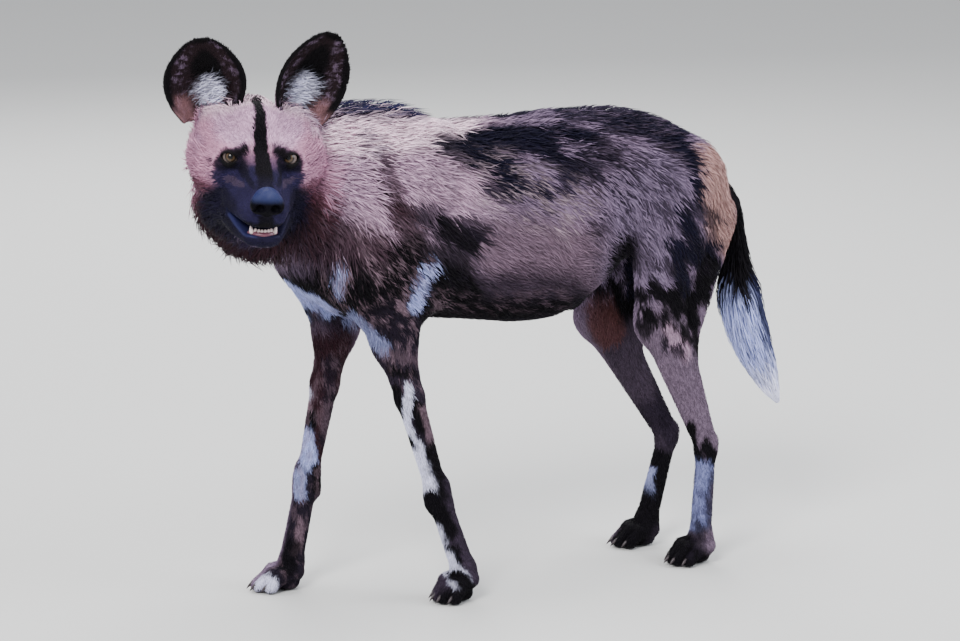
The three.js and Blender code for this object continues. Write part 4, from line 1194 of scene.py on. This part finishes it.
def lock_piece(name, lines, widths, thick_way, colours, chart, tips=1.1, bases=0.76):
    """Closed three-sided locks along lines of points, whose last point is the tip, joined as one mesh."""
    count, stops = lines.shape[:2]
    rings = stops - 1
    at = np.array(RING_AT[rings])
    size = np.array(RING_WIDTH[rings])
    ahead = unit(lines[:, 1:] - lines[:, :-1])
    thick = unit(thick_way[:, None] - ahead * (thick_way[:, None] * ahead).sum(-1, keepdims=True))
    wide = np.cross(ahead, thick)
    corners = ((-0.5, 0.0), (0.5, 0.0), (0.0, 0.5))
    rows = []
    for across, high in corners:
        spread = widths[:, None, None] * size[None, :, None]
        rows.append(lines[:, :-1] + wide * across * spread + thick * high * spread)
    ring_points = np.stack(rows, 2).reshape(count, rings * 3, 3)
    points = np.concatenate([ring_points, lines[:, -1:]], 1)
    each = rings * 3 + 1
    faces = [(0, 2, 1)]
    for r in range(rings - 1):
        for j in range(3):
            a, b = 3 * r + j, 3 * r + (j + 1) % 3
            faces += [(a, b, b + 3), (a, b + 3, a + 3)]
    last = 3 * (rings - 1)
    faces += [(last + j, last + (j + 1) % 3, each - 1) for j in range(3)]
    faces = np.array(faces)[None] + (np.arange(count) * each)[:, None, None]
    piece = mesh_object(name, points.reshape(-1, 3), faces.reshape(-1, 3))
    shade = np.r_[np.repeat(bases + (tips - bases) * at, 3), tips]
    set_colour(piece, "mark", (colours[:, None] * shade[None, :, None]).reshape(-1, 3))
    offset_u = np.r_[np.tile((-0.5, 0.5, 0.0), rings), 0.0] * PATCH
    offset_v = (np.r_[np.repeat(at, 3), 1.0] - 0.5) * PATCH
    uv = np.clip(chart[:, None], PATCH, 1 - PATCH) + np.stack([offset_u, offset_v], -1)[None]
    uv = uv.reshape(-1, 2)[faces.reshape(-1)]
    layer = piece.data.uv_layers.new(name="OFBake")
    layer.data.foreach_set("uv", uv.astype(np.float32).ravel())
    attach(piece, "root")
    return piece


def hair_lines(roots, normals, lie, length, height, rings, rng, curl=0.12, follow=True):
    """Lines from each root along its lie, which rise to the given height over the skin at their tips."""
    side = np.cross(normals, lie)
    bow = curl * length * rng.normal(size=len(roots))
    stops = [*RING_AT[rings], 1.0]
    lines = []
    for t in stops:
        rise = height * (1 - (1 - t) ** 1.8)
        point = roots + lie * (length * t)[:, None] + side * (bow * t * t)[:, None]
        if t == 0:
            point = roots - normals * SUNK
        elif follow:
            gap = np.clip(rise - skin_field(point), -0.45 * length, 0.45 * length)
            point = point + normals * gap[:, None]
        else:
            point = point + normals * rise[:, None]
        lines.append(point)
    return np.stack(lines, 1)


def tones(roots, rng, spread, seed=90):
    """Lightness of each lock: clumps and chance."""
    clump = rough_noise(roots, 11, seed, 2) - 0.5
    return (1 + 0.45 * clump + 0.8 * spread * rng.normal(size=len(roots)))[:, None].clip(0.45, 1.7)


def lock_colours(roots, normals, lie, length, shift, spread, rng):
    """Each lock's colour is that of a place a little along its lie, so that markings have hairy edges."""
    place = roots + lie * (rng.uniform(-shift, shift, len(roots)) * length)[:, None]
    return marks(place, normals) * tones(roots, rng, spread)


def turned_about(points, centre, ahead, up, low, high):
    """A chart of a round part: how far round its axis, and how far along it."""
    ahead = unit(ahead)
    up = unit(np.asarray(up, float) - ahead * (np.asarray(up, float) @ ahead))
    side = np.cross(ahead, up)
    d = points - np.asarray(centre, float)
    return np.stack([np.arctan2(d @ side, d @ up) / (2 * np.pi) + 0.5, (d @ ahead - low) / (high - low)], -1)


def face_chart(q):
    """A round chart about the nose: the way round it, and the angle back from it about the skull."""
    d = unit(q - (0, 44, -30))
    angle = np.arccos(np.clip(-d[:, 1], -1, 1)) / np.pi
    turn = np.arctan2(d[:, 0], d[:, 2])
    return 0.5 + 0.48 * angle[:, None] * np.stack([np.sin(turn), np.cos(turn)], -1)


# Which quads of the skin carry which coat
middles_head = to_head(quad_middles)
quad_head = head_share(quad_middles)
quad_tail = on_tail(quad_middles)
quad_ear = on_ear(middles_head) & (quad_head > 0)
quad_bare = bareness(quad_middles) > 0.5
hairy = ~quad_bare & ~quad_ear & ~quad_tail
quad_leg = quad_middles[:, 2] < 400
quad_leg &= ~((quad_middles[:, 1] > -150) & (quad_middles[:, 1] < 215))
is_head = hairy & (quad_head > 0.5)
from_axis = np.hypot(middles_head[:, 0], 0.9 * (middles_head[:, 2] + 20))
is_face = is_head & (middles_head[:, 1] < 26) & ((from_axis < 64) | (middles_head[:, 1] < -24))
is_face |= is_head & (middles_head[:, 2] > 12) & (middles_head[:, 1] < 62)
is_ruff = is_head & ~is_face
is_leg = hairy & quad_leg
is_neck = hairy & ~is_head & ~quad_leg & (quad_middles[:, 1] < -130)
is_trunk = hairy & ~is_head & ~quad_leg & ~is_neck


def begun(part, chosen, weight):
    """The source of chance for a piece of the coat, and the roots and normals of its locks."""
    count, seed = LOCKS[part]
    rng = np.random.default_rng(seed)
    return rng, *roots_on(chosen, weight, int(count * DENSITY), rng)


def body_lengths(p):
    """Hair length and the height of its tip over the skin, along the body and legs."""
    z = p[:, 2]
    length = 12 + 13 * ramp(z, 420, 520)
    length = length - 3.5 * ramp(-z, -330, -220) - 2.5 * ramp(-z, -80, -40)
    length = length + 8 * ramp(-p[:, 1], 120, 230) * ramp(z, 460, 540)
    height = coat_depth(p) * (0.75 + 0.15 * ramp(z, 420, 520))
    height = height - 0.6 * ramp(-z, -330, -150)
    return length, np.maximum(height, 1.0)


def coat_piece(part, chosen, chart, shape=None):
    """A piece of the body's coat on the chosen quads, with more locks where they are short."""
    rng, roots, normals = begun(part, chosen, (24 / body_lengths(quad_middles)[0]) ** 1.2)
    lie = ruffled_lie(roots, normals, 0.16, rng)
    length, height = body_lengths(roots)
    if shape:
        length, height = shape(roots, normals, length, height)
    vary = rng.uniform(0.72, 1.25, len(roots))
    clumps = 0.8 + 0.5 * rough_noise(roots, 16, LOCKS[part][1], 1)
    height = height * rng.uniform(0.55, 1.3, len(roots)) * clumps
    length = length * vary
    widths = (0.06 * length + 0.5).clip(0.8, 1.85) / DENSITY**0.4
    lines = hair_lines(roots, normals, lie, length, height, 2, rng)
    lines[..., 2] = np.maximum(lines[..., 2], LOCK_LOWEST)
    colours = lock_colours(roots, normals, lie, length, 0.25, 0.2, rng)
    lock_piece("coat_" + part, lines, widths, normals, colours, chart(roots))


def trunk_chart(p):
    return turned_about(p, (0, 0, 540), (0, 1, 0), (0, 0, 1), -160, 420)


def neck_chart(p):
    return turned_about(p, (0, -240, 560), (0.05, -1, 0.1), (0, 0, 1), -130, 170)


def legs_chart(p):
    """The two legs of a pair side by side, each unrolled round a line down its middle."""
    left = p[:, 0] > 0
    fore = p[:, 1].mean() < 100
    legs = FORE_LEGS if fore else HIND_LEGS
    chart = np.zeros((len(p), 2))
    for name, pick in (("left", left), ("right", ~left)):
        leg = legs[name]
        top, bottom = (leg["elbow"] if fore else leg["knee"]), leg["knuckle"]
        share = ((p[pick, 2] - bottom[2]) / (top[2] - bottom[2]))[:, None]
        centre = np.asarray(bottom, float) + share * (np.asarray(top, float) - bottom)
        d = p[pick] - centre
        turn = np.arctan2(d[:, 0], -d[:, 1]) / (2 * np.pi) + 0.5
        chart[pick] = np.stack([0.01 + 0.48 * turn + (0 if name == "left" else 0.5), p[pick, 2] / 420], -1)
    return chart


def mane_shape(p, normals, length, height):
    mane = mane_share(p) * ramp(normals[:, 2], 0.3, 0.7)
    return length + 15 * mane, height + 13 * mane


left_half = quad_middles[:, 0] > 0
fore_half = quad_middles[:, 1] < 0
coat_piece("trunk_left", is_trunk & left_half, trunk_chart)
coat_piece("trunk_right", is_trunk & ~left_half, trunk_chart)
coat_piece("neck", is_neck, neck_chart, mane_shape)
coat_piece("fore_legs", is_leg & fore_half, legs_chart)
coat_piece("hind_legs", is_leg & ~fore_half, legs_chart)


# Face, ruff, ears and tail
def face_coat():
    rng, roots, normals = begun("face", is_face, 1 + 2.2 * ramp(-middles_head[:, 1], 0, 50))
    q = to_head(roots)
    lie = ruffled_lie(roots, normals, 0.13, rng)
    back = ramp(q[:, 1], -50, 16)
    length = (4.2 + 5.4 * back + 5 * ramp(-q[:, 2], 60, 100) * back) * rng.uniform(0.75, 1.25, len(roots))
    length = length * (0.5 + 0.5 * ramp(eye_distance(q), 17, 30))
    height = (0.55 + 0.9 * back) * rng.uniform(0.5, 1.35, len(roots))
    lines = hair_lines(roots, normals, lie, length, height, 2, rng)
    colours = lock_colours(roots, normals, lie, length, 0.3, 0.16, rng)
    widths = (0.1 * length + 0.35).clip(0.7, 1.5) / DENSITY**0.4
    lock_piece("coat_face", lines, widths, normals, colours, face_chart(q), 1.1, 0.75)


def ruff_coat(part, side):
    half = middles_head[:, 0] * side > 0
    rng, roots, normals = begun(part, is_ruff & half, np.ones(len(quad_middles)))
    q = to_head(roots)
    lie = ruffled_lie(roots, normals, 0.2, rng)
    room = -np.minimum(head_field(q), neck_field(roots, 1)).clip(-28, -3.5)
    length = (15 + 1.4 * room) * rng.uniform(0.65, 1.25, len(roots))
    fluff = 0.6 + 0.4 * ramp(-q[:, 2], 10, 70)
    height = room * fluff * rng.uniform(0.45, 1.4, len(roots))
    lines = hair_lines(roots, normals, lie, length, height, 3, rng, 0.16)
    colours = lock_colours(roots, normals, lie, length, 0.25, 0.22, rng)
    widths = (0.03 * length + 0.7).clip(0.8, 2.0) / DENSITY**0.4
    lock_piece("coat_" + part, lines, widths, normals, colours, face_chart(q))


def white_tuft(up, across, high, wide):
    """1 in the white tuft low inside an ear."""
    return 1 - ramp(np.hypot((up - 0.32) / high, across / wide), 0.7, 1.1)


def ear_coat():
    rng, roots, normals = begun("ears", quad_ear, np.ones(len(quad_middles)))
    q = to_head(roots)
    n = normals @ HEAD_AXES
    which, up, across, inner = ear_places(q, n)
    way = np.zeros_like(q)
    for i, ear in enumerate(EARS.values()):
        along, side, _ = ear_axes(ear)
        pick = which == i
        white = white_tuft(up[pick], across[pick], 0.3, 0.55)
        sideways = across[pick] * 0.35 + 0.9 * white * inner[pick]
        way[pick] = along + side * sideways[:, None] - along * (0.75 * white * inner[pick])[:, None]
    way = way + 0.22 * rng.normal(size=way.shape)
    lie = along_skin(way, n) @ HEAD_AXES.T
    white = inner * white_tuft(up, across, 0.28, 0.48)
    edge = np.maximum(np.abs(across), ramp(up, 0.7, 1.0))
    length = (6.0 - 2.6 * ramp(edge, 0.7, 0.95) + 13 * white) * rng.uniform(0.7, 1.25, len(roots))
    height = (0.6 + 4.0 * white) * rng.uniform(0.5, 1.4, len(roots))
    lines = hair_lines(roots, normals, lie, length, height, 2, rng, 0.2, False)
    colours = marks(roots, normals) * tones(roots, rng, 0.2)
    widths = (0.04 * length + 0.75) / DENSITY**0.4
    cell = which + 2 * (inner > 0.5)
    chart = np.stack([(cell + 0.08 + 0.42 * (across + 1)) / 4, 0.04 + 0.9 * up], -1)
    lock_piece("coat_ears", lines, widths, normals, colours, chart)


def tail_coat():
    chosen = quad_tail & (quad_middles[:, 1] > 392)
    _, _, thin = tail_places(quad_middles)
    rng, roots, normals = begun("tail", chosen, 1 / np.maximum(thin, 3.0))
    along, foot, _ = tail_places(roots)
    centre = [curve(np.stack([np.arange(len(TAIL)), TAIL[:, i]], -1)) for i in range(4)]
    steps = np.linspace(0, len(TAIL) - 1, 400)
    path = np.stack([centre[i](steps) for i in range(3)], -1)
    run = np.r_[0, np.cumsum(np.linalg.norm(np.diff(path, axis=0), axis=1))]
    began = np.interp(along, steps, run)
    length = (26 + 52 * ramp(along, 1.2, 3.4)) * rng.uniform(0.65, 1.15, len(roots))
    length = np.minimum(length, (run[-1] - began) * rng.uniform(0.85, 1.0, len(roots)) + 6)
    out = unit(roots - foot)
    swing = 0.22 * rng.normal(size=out.shape)
    share = rng.random(len(roots)) ** 0.6
    lines = []
    for t in (*RING_AT[4], 1.0):
        reach = began + length * t
        place = np.interp(np.minimum(reach, run[-1]), run, steps)
        middle = np.stack([centre[i](place) for i in range(3)], -1)
        skin_out = np.interp(place, np.arange(len(TAIL)), TAIL_SKIN)
        coat_out = centre[3](place) * (0.3 + 0.72 * share)
        radius = skin_out + (np.maximum(coat_out, skin_out * 0.6) - skin_out) * ramp(t, -0.2, 0.75)
        way = unit(out + swing * t) * (0.85, 1, 1)
        point = middle + way * radius[:, None]
        if t == 0:
            point = roots - normals * SUNK
        lines.append(point)
    lines = np.stack(lines, 1)
    colours = tail_colours(roots + 0.25 * (lines[:, 2] - roots)) * tones(roots, rng, 0.22)
    widths = (0.03 * length + 0.9) / DENSITY**0.4
    chart = np.stack([np.arctan2(out[:, 0], -out[:, 1]) / (2 * np.pi) + 0.5, began / run[-1]], -1)
    lock_piece("coat_tail", lines, widths, out, colours, chart, 1.1, 0.75)


face_coat()
ruff_coat("ruff_left", 1)
ruff_coat("ruff_right", -1)
ear_coat()
tail_coat()


# Swept pieces: teeth and claws
def ring_faces(rings, sides):
    """Quads between the rings of a closed tube, and over its ends, whose middle points follow the rings."""
    faces = []
    for i in range(rings - 1):
        for j in range(sides):
            k = (j + 1) % sides
            faces.append((i * sides + j, i * sides + k, (i + 1) * sides + k, (i + 1) * sides + j))
    end = rings * sides
    last = end - sides
    for j in range(0, sides, 2):
        k, m = j + 1, (j + 2) % sides
        faces.append((end, m, k, j))
        faces.append((end + 1, last + j, last + k, last + m))
    return np.array(faces)


def swept(points, radii, up, sides=10, flat=1.0):
    """A closed tube along points, with its end rings drawn together."""
    points = np.asarray(points, float)
    ahead = unit(np.gradient(points, axis=0))
    across = unit(np.cross(ahead, np.asarray(up, float)))
    over = np.cross(across, ahead)
    turn = np.linspace(0, 2 * np.pi, sides, endpoint=False)
    ring = np.cos(turn)[None, :, None] * across[:, None] + flat * np.sin(turn)[None, :, None] * over[:, None]
    vertices = (points[:, None] + ring * np.asarray(radii, float)[:, None, None]).reshape(-1, 3)
    return np.concatenate([vertices, points[:1], points[-1:]]), ring_faces(len(points), sides)


def gathered(name, parts, values=None):
    """Joins swept parts into one piece."""
    vertices, faces, level = [], [], []
    total = 0
    for i, (v, f) in enumerate(parts):
        vertices.append(v)
        faces.append(f + total)
        total += len(v)
        level.append(np.full(len(v), 0 if values is None else values[i], float))
    piece = mesh_object(name, np.concatenate(vertices), np.concatenate(faces))
    set_value(piece, "part", np.concatenate(level))
    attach(piece, "root")
    return piece


INCISORS = 6
INCISOR_STEP = 4.3
INCISOR_HEIGHT = 6.4
INCISOR_RADII = (1.7, 2.1, 2.25, 2.2, 1.8, 0.5)
CANINE_HEIGHT = 11.5
CANINE_RADII = (2.9, 3.2, 3.1, 2.8, 2.3, 1.7, 1.0, 0.2)
CLAW_LENGTH = 14.5
CLAW_RADIUS = 3.1
CLAW_LOWEST = 1.2


def lower_teeth():
    """The gum along the jaw's front, six incisors and two canines."""
    arc = np.linspace(-1, 1, 15)
    gum_line = np.stack([arc * 21, -91 + 15 * arc**2, np.full(len(arc), GUM_HEIGHT - 1.0)], -1)
    gum_size = 4.6 * np.sqrt(np.clip(1.02 - arc**6, 0.02, 1))
    parts = [swept(from_head(gum_line), gum_size, (0, 0, 1), 12)]
    kinds = [0]
    for i in range(INCISORS):
        place = i - (INCISORS - 1) / 2
        x = place * INCISOR_STEP
        base = np.array([x, -91.0 + 0.034 * x * x, GUM_HEIGHT + 1.0])
        rise = np.linspace(0, 1, len(INCISOR_RADII))[:, None]
        line = base + rise * (0, -0.8, INCISOR_HEIGHT + 0.25 * abs(place))
        size = np.array(INCISOR_RADII) * (0.92 + 0.05 * abs(place))
        parts.append(swept(from_head(line), size, HEAD_AXES @ (0, 1, 0), flat=0.72))
        kinds.append(1)
    for s in (1, -1):
        rise = np.linspace(0, 1, len(CANINE_RADII))[:, None]
        base = np.array([s * 15.5, -86.5, GUM_HEIGHT + 0.5])
        line = base + rise * (s * 2.4, -2.0, CANINE_HEIGHT) + (rise**2) * (0, 2.6, 0)
        parts.append(swept(from_head(line), CANINE_RADII, HEAD_AXES @ (0, 1, 0)))
        kinds.append(1)
    piece = gathered("teeth", parts, kinds)
    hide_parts("teeth_lower")
    return piece


def all_claws():
    parts = []
    nodes = []
    for kind, legs in (("fore", FORE_LEGS), ("hind", HIND_LEGS)):
        for name, leg in legs.items():
            axes, foot = paw_axes(leg)
            for i, place in enumerate(TOES):
                _, bend, tip = toe_line(place, leg["reach"], leg["knuckle"][2])
                forward = unit((tip - bend) * (1, 1, 0))
                start = tip + (0, 0, 3.0) + forward * 1.5
                t = np.linspace(0, 1, 9)[:, None]
                line = start + forward * (CLAW_LENGTH * t) + np.array([0, 0, 1.0]) * (1.6 * t - 10.0 * t**2)
                line[:, 2] = np.maximum(line[:, 2], CLAW_LOWEST)
                size = CLAW_RADIUS * (1 - t[:, 0] ** 1.7) + 0.25
                parts.append(swept(line @ axes.T + foot, size, (0, 0, 1), 8, 1.2))
                nodes.append(f"{kind}_{name}_claw_{i + 1}")
    piece = gathered("claws", parts)
    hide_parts(*nodes)
    return piece


def eyeball(name, s, node):
    """An eyeball turned to its gaze, with a slight cornea. Its ring value is the angle from the gaze."""
    gaze = unit(GAZE)
    up = unit(np.array([0, 0, 1]) - gaze * gaze[2])
    side = np.cross(gaze, up)
    rings, sides = 40, 48
    angle = np.linspace(0, np.pi, rings + 1)[1:-1]
    turn = np.linspace(0, 2 * np.pi, sides, endpoint=False)
    white = EYE_RADIUS - EYE_GAP
    radius = (white + CORNEA * np.exp(-((angle / CORNEA_SPREAD) ** 2)))[:, None, None]
    a, b = (grid[..., None] for grid in np.meshgrid(angle, turn, indexing="ij"))
    points = radius * (np.cos(a) * gaze + np.sin(a) * (np.cos(b) * side + np.sin(b) * up))
    points = points.reshape(-1, 3)
    poles = np.array([gaze * (white + CORNEA), -gaze * white])
    centre = EYE * np.array([s, 1, 1])
    vertices = from_head(centre + np.concatenate([points, poles]))
    ball = mesh_object(name, vertices, ring_faces(len(angle), sides)[:, [0, 3, 2, 1]])
    set_value(ball, "ring", np.r_[np.repeat(angle, sides), 0, np.pi] / np.pi)
    set_value(ball, "spoke", np.r_[np.tile(turn, len(angle)), 0, 0])
    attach(ball, "root")
    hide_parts(node)
    return ball


def nose_field(q):
    d = joined(
        6,
        ellipsoid(q, NOSE, NOSE_RADII),
        limb(q, (0, -112, -24), (0, -120, -24), 12, 10, 1.25),
        *both_sides(lambda s: ellipsoid(q, (s * 13, -120, -38), (9.5, 9, 9))),
        limb(q, (0, -118, -42), (0, -113, -54), 7, 3.5),
    )
    for s in (1, -1):
        d = carved(d, ellipsoid(q, (s * 10.5, -131, -38.5), (6.6, 9, 6.0)), 2.0)
        d = carved(d, limb(q, (s * 13, -129, -40), (s * 22, -121, -43.5), 2.2, 1.2), 1.5)
    return carved(d, limb(q, (0, -136, -40), (0, -121, -56), 1.0, 0.8), 1.6)


def nose_pad():
    axes = tuple(spaced([(low, high, NOSE_STEP)]) for low, high in ((-30, 30), (-142, -92), (-64, -8)))
    vertices, quads = surface(sampled(nose_field, axes), axes)
    vertices = settled(nose_field, vertices, 1, 1.0)
    pad = mesh_object("nose_pad", from_head(vertices), quads)
    # top also sets how blue the nose is: the blue on its top is a painted sky reflection.
    set_value(pad, "top", ramp(vertices[:, 2], -34, -23))
    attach(pad, "root")
    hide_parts("nose")
    return pad


teeth = lower_teeth()
claws = all_claws()
eyes = [eyeball("eyeball_left", 1, "eye_left"), eyeball("eyeball_right", -1, "eye_right")]
nose = nose_pad()
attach(skin_object, "root")
flesh = ["trunk", "neck", "head", "jaw", "tail", "ear_left", "ear_right"]
legs = ("fore_left", "fore_right", "hind_left", "hind_right")
flesh += [f"{leg}_{part}" for leg in legs for part in ("upper", "lower", "paw")]
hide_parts(*flesh)


# Materials
class Nodes:
    """Short ways to build a material's nodes."""

    def __init__(self, name, **values):
        self.material = bpy.data.materials.new(name)
        self.material.use_nodes = True
        self.tree = self.material.node_tree
        self.shader = self.tree.nodes["Principled BSDF"]
        for key, value in values.items():
            self.shader.inputs[key.replace("_", " ")].default_value = value

    def add(self, kind, settings=None, **inputs):
        """A node with its settings. Inputs go by name, or as n0, n1 and so on by number."""
        node = self.tree.nodes.new(kind)
        for key, value in (settings or {}).items():
            setattr(node, key, value)
        for key, value in inputs.items():
            numbered = key[0] == "n" and key[1:].isdigit()
            self.put(node.inputs[int(key[1:]) if numbered else key.replace("_", " ")], value)
        return node

    def put(self, socket, value):
        if isinstance(value, bpy.types.NodeSocket):
            self.tree.links.new(value, socket)
        else:
            socket.default_value = value

    def set(self, key, value):
        self.put(self.shader.inputs[key], value)

    def attribute(self, name, output="Fac"):
        return self.add("ShaderNodeAttribute", dict(attribute_name=name)).outputs[output]

    def noise(self, scale, detail=2.0, vector=None):
        inputs = dict(Scale=scale, Detail=detail)
        if vector is not None:
            inputs["Vector"] = vector
        return self.add("ShaderNodeTexNoise", None, **inputs).outputs["Fac"]

    def stretched(self, scale):
        place = self.add("ShaderNodeNewGeometry").outputs["Position"]
        return self.add("ShaderNodeVectorMath", dict(operation="MULTIPLY"), n0=place, n1=scale).outputs[0]

    def ranged(self, value, low, high):
        node = self.add("ShaderNodeMapRange", None, Value=value)
        node.inputs["To Min"].default_value = low
        node.inputs["To Max"].default_value = high
        return node.outputs["Result"]

    def times(self, colour, factor):
        return self.add("ShaderNodeVectorMath", dict(operation="SCALE"), n0=colour, Scale=factor).outputs[0]

    def bump(self, height, strength, distance):
        node = self.add("ShaderNodeBump", None, Strength=strength, Distance=distance, Height=height)
        self.set("Normal", node.outputs["Normal"])

    def ramped(self, value, stops):
        node = self.add("ShaderNodeValToRGB", None, Fac=value)
        elements = node.color_ramp.elements
        while len(elements) < len(stops):
            elements.new(0.5)
        for element, (at, colour) in zip(elements, stops):
            element.position = at
            element.color = (*colour, 1)
        return node.outputs["Color"]


def give(thing, nodes):
    thing.data.materials.clear()
    thing.data.materials.append(nodes.material)


def skin_material():
    m = Nodes("skin_fur", Specular_IOR_Level=0.1)
    body = m.noise(1.0, 3.0, m.stretched((900, 140, 900)))
    legs = m.noise(1.0, 3.0, m.stretched((900, 900, 160)))
    pick = m.add("ShaderNodeMix", None, Factor=m.attribute("leg"), A=body, B=legs).outputs["Result"]
    m.set("Base Color", m.times(m.attribute("mark", "Color"), m.ranged(pick, 0.62, 1.12)))
    m.set("Roughness", m.ranged(m.attribute("bare"), 0.85, 0.42))
    m.bump(pick, 0.6, 0.0016)
    return m


def coat_material():
    m = Nodes("coat_fur", Specular_IOR_Level=0.1, Roughness=0.6)
    tint = m.noise(420.0, 2.0)
    m.set("Base Color", m.times(m.attribute("mark", "Color"), m.ranged(tint, 0.8, 1.2)))
    m.bump(m.noise(1.0, 2.0, m.stretched((2200, 2200, 2200))), 0.25, 0.0004)
    return m


def eye_material():
    m = Nodes("eye_gloss", Roughness=0.22, Specular_IOR_Level=0.2, Coat_Weight=0.15, Coat_Roughness=0.03)
    turned_round = m.add("ShaderNodeMath", dict(operation="MULTIPLY"), n0=m.attribute("spoke"), n1=9.0)
    spokes = m.add("ShaderNodeCombineXYZ", None, X=turned_round.outputs[0], Y=m.attribute("ring")).outputs[0]
    grain = m.ranged(m.noise(1.4, 3.0, spokes), 0.7, 1.35)
    stops = [
        (0.0, (0.003, 0.003, 0.004)), (0.085, (0.003, 0.003, 0.004)), (0.105, (0.035, 0.02, 0.012)),
        (0.14, (0.075, 0.048, 0.026)), (0.185, (0.036, 0.023, 0.015)), (0.212, (0.012, 0.008, 0.008)),
        (0.235, (0.02, 0.014, 0.014)), (0.27, (0.12, 0.09, 0.085)),
    ]
    m.set("Base Color", m.times(m.ramped(m.attribute("ring"), stops), grain))
    return m


def nose_material():
    m = Nodes("nose_leather", Roughness=0.42)
    cells = m.add("ShaderNodeTexVoronoi", None, Scale=1100.0).outputs["Distance"]
    # Black below and blue on top: the blue is a painted sky reflection on the black leather.
    stops = [(0.0, tuple(shown(8, 7, 12))), (1.0, tuple(shown(14, 26, 74)))]
    m.set("Base Color", m.times(m.ramped(m.attribute("top"), stops), m.ranged(cells, 1.25, 0.75)))
    m.set("Specular IOR Level", m.ranged(m.attribute("top"), 0.03, 0.32))
    m.bump(cells, 0.5, 0.0004)
    return m


def teeth_material():
    m = Nodes("tooth_enamel", Roughness=0.28, Specular_IOR_Level=0.5)
    stops = [(0.0, tuple(shown(110, 62, 78))), (1.0, tuple(shown(236, 214, 212)))]
    m.set("Base Color", m.times(m.ramped(m.attribute("part"), stops), m.ranged(m.noise(500.0), 0.85, 1.1)))
    m.bump(m.noise(900.0), 0.15, 0.0003)
    return m


def claw_material():
    m = Nodes("claw_horn", Roughness=0.4, Specular_IOR_Level=0.45)
    grain = m.noise(1.0, 3.0, m.stretched((700, 700, 2400)))
    m.set("Base Color", m.ramped(grain, [(0.3, tuple(shown(26, 22, 28))), (0.8, tuple(shown(74, 62, 66)))]))
    m.bump(grain, 0.3, 0.0003)
    return m


give(skin_object, skin_material())
coat_fur = coat_material()
for thing in list(bpy.context.scene.objects):
    if thing.name.startswith("coat_"):
        give(thing, coat_fur)
eye_gloss = eye_material()
for ball in eyes:
    give(ball, eye_gloss)
give(nose, nose_material())
give(teeth, teeth_material())
give(claws, claw_material())


# Floor, light and camera
def floor_plane():
    """A plain floor that runs past the picture on every side."""
    half = 40000.0
    corners = [(-half, -half, 0), (half, -half, 0), (half, half, 0), (-half, half, 0)]
    floor = mesh_object("floor", corners, [(0, 1, 2, 3)], False)
    m = Nodes("floor_plain", Roughness=0.9, Specular_IOR_Level=0.1)
    m.set("Base Color", m.ramped(m.noise(0.6), [(0.0, (0.62, 0.62, 0.61)), (1.0, (0.66, 0.66, 0.65))]))
    give(floor, m)


def soft_light(name, place, size, power, colour):
    """A round lamp turned to the middle of the animal."""
    lamp = bpy.data.lights.new(name, "AREA")
    lamp.shape = "DISK"
    lamp.size = size
    lamp.energy = power
    lamp.color = colour
    thing = bpy.data.objects.new(name, lamp)
    bpy.context.scene.collection.objects.link(thing)
    thing.location = place
    thing.rotation_mode = "QUATERNION"
    thing.rotation_quaternion = (Vector((0, 0, 0.4)) - Vector(place)).to_track_quat("-Z", "Y")


def world_light():
    world = bpy.data.worlds.new("studio")
    world.use_nodes = True
    background = world.node_tree.nodes["Background"]
    background.inputs["Color"].default_value = (0.93, 0.95, 1.0, 1)
    background.inputs["Strength"].default_value = 0.72
    bpy.context.scene.world = world


SENSOR_WIDTH = 36


def photo_camera():
    right, up, back = sight_axes()
    aim = (np.array(DRAWN_FROM["aim"]) + SHIFT) / 1000
    place = aim + back * DRAWN_FROM["distance"] / 1000
    data = bpy.data.cameras.new("camera")
    data.sensor_width = SENSOR_WIDTH
    data.lens = SENSOR_WIDTH * DRAWN_FROM["steps"] / (2 * DRAWN_FROM["middle"][0])
    camera = bpy.data.objects.new("camera", data)
    bpy.context.scene.collection.objects.link(camera)
    camera.matrix_world = Matrix([
        (right[0], up[0], back[0], place[0]), (right[1], up[1], back[1], place[1]),
        (right[2], up[2], back[2], place[2]), (0, 0, 0, 1),
    ])
    bpy.context.scene.camera = camera


floor_plane()
world_light()
soft_light("key", (3.2, -3.4, 4.2), 2.4, 430, (1.0, 0.99, 0.98))
soft_light("fill", (2.5, 3.2, 2.6), 3.0, 150, (0.92, 0.95, 1.0))
soft_light("top", (-0.6, 0.2, 4.5), 3.0, 150, (1.0, 1.0, 1.0))
soft_light("back", (-3.5, 1.0, 2.4), 2.4, 90, (1.0, 1.0, 1.0))
photo_camera()
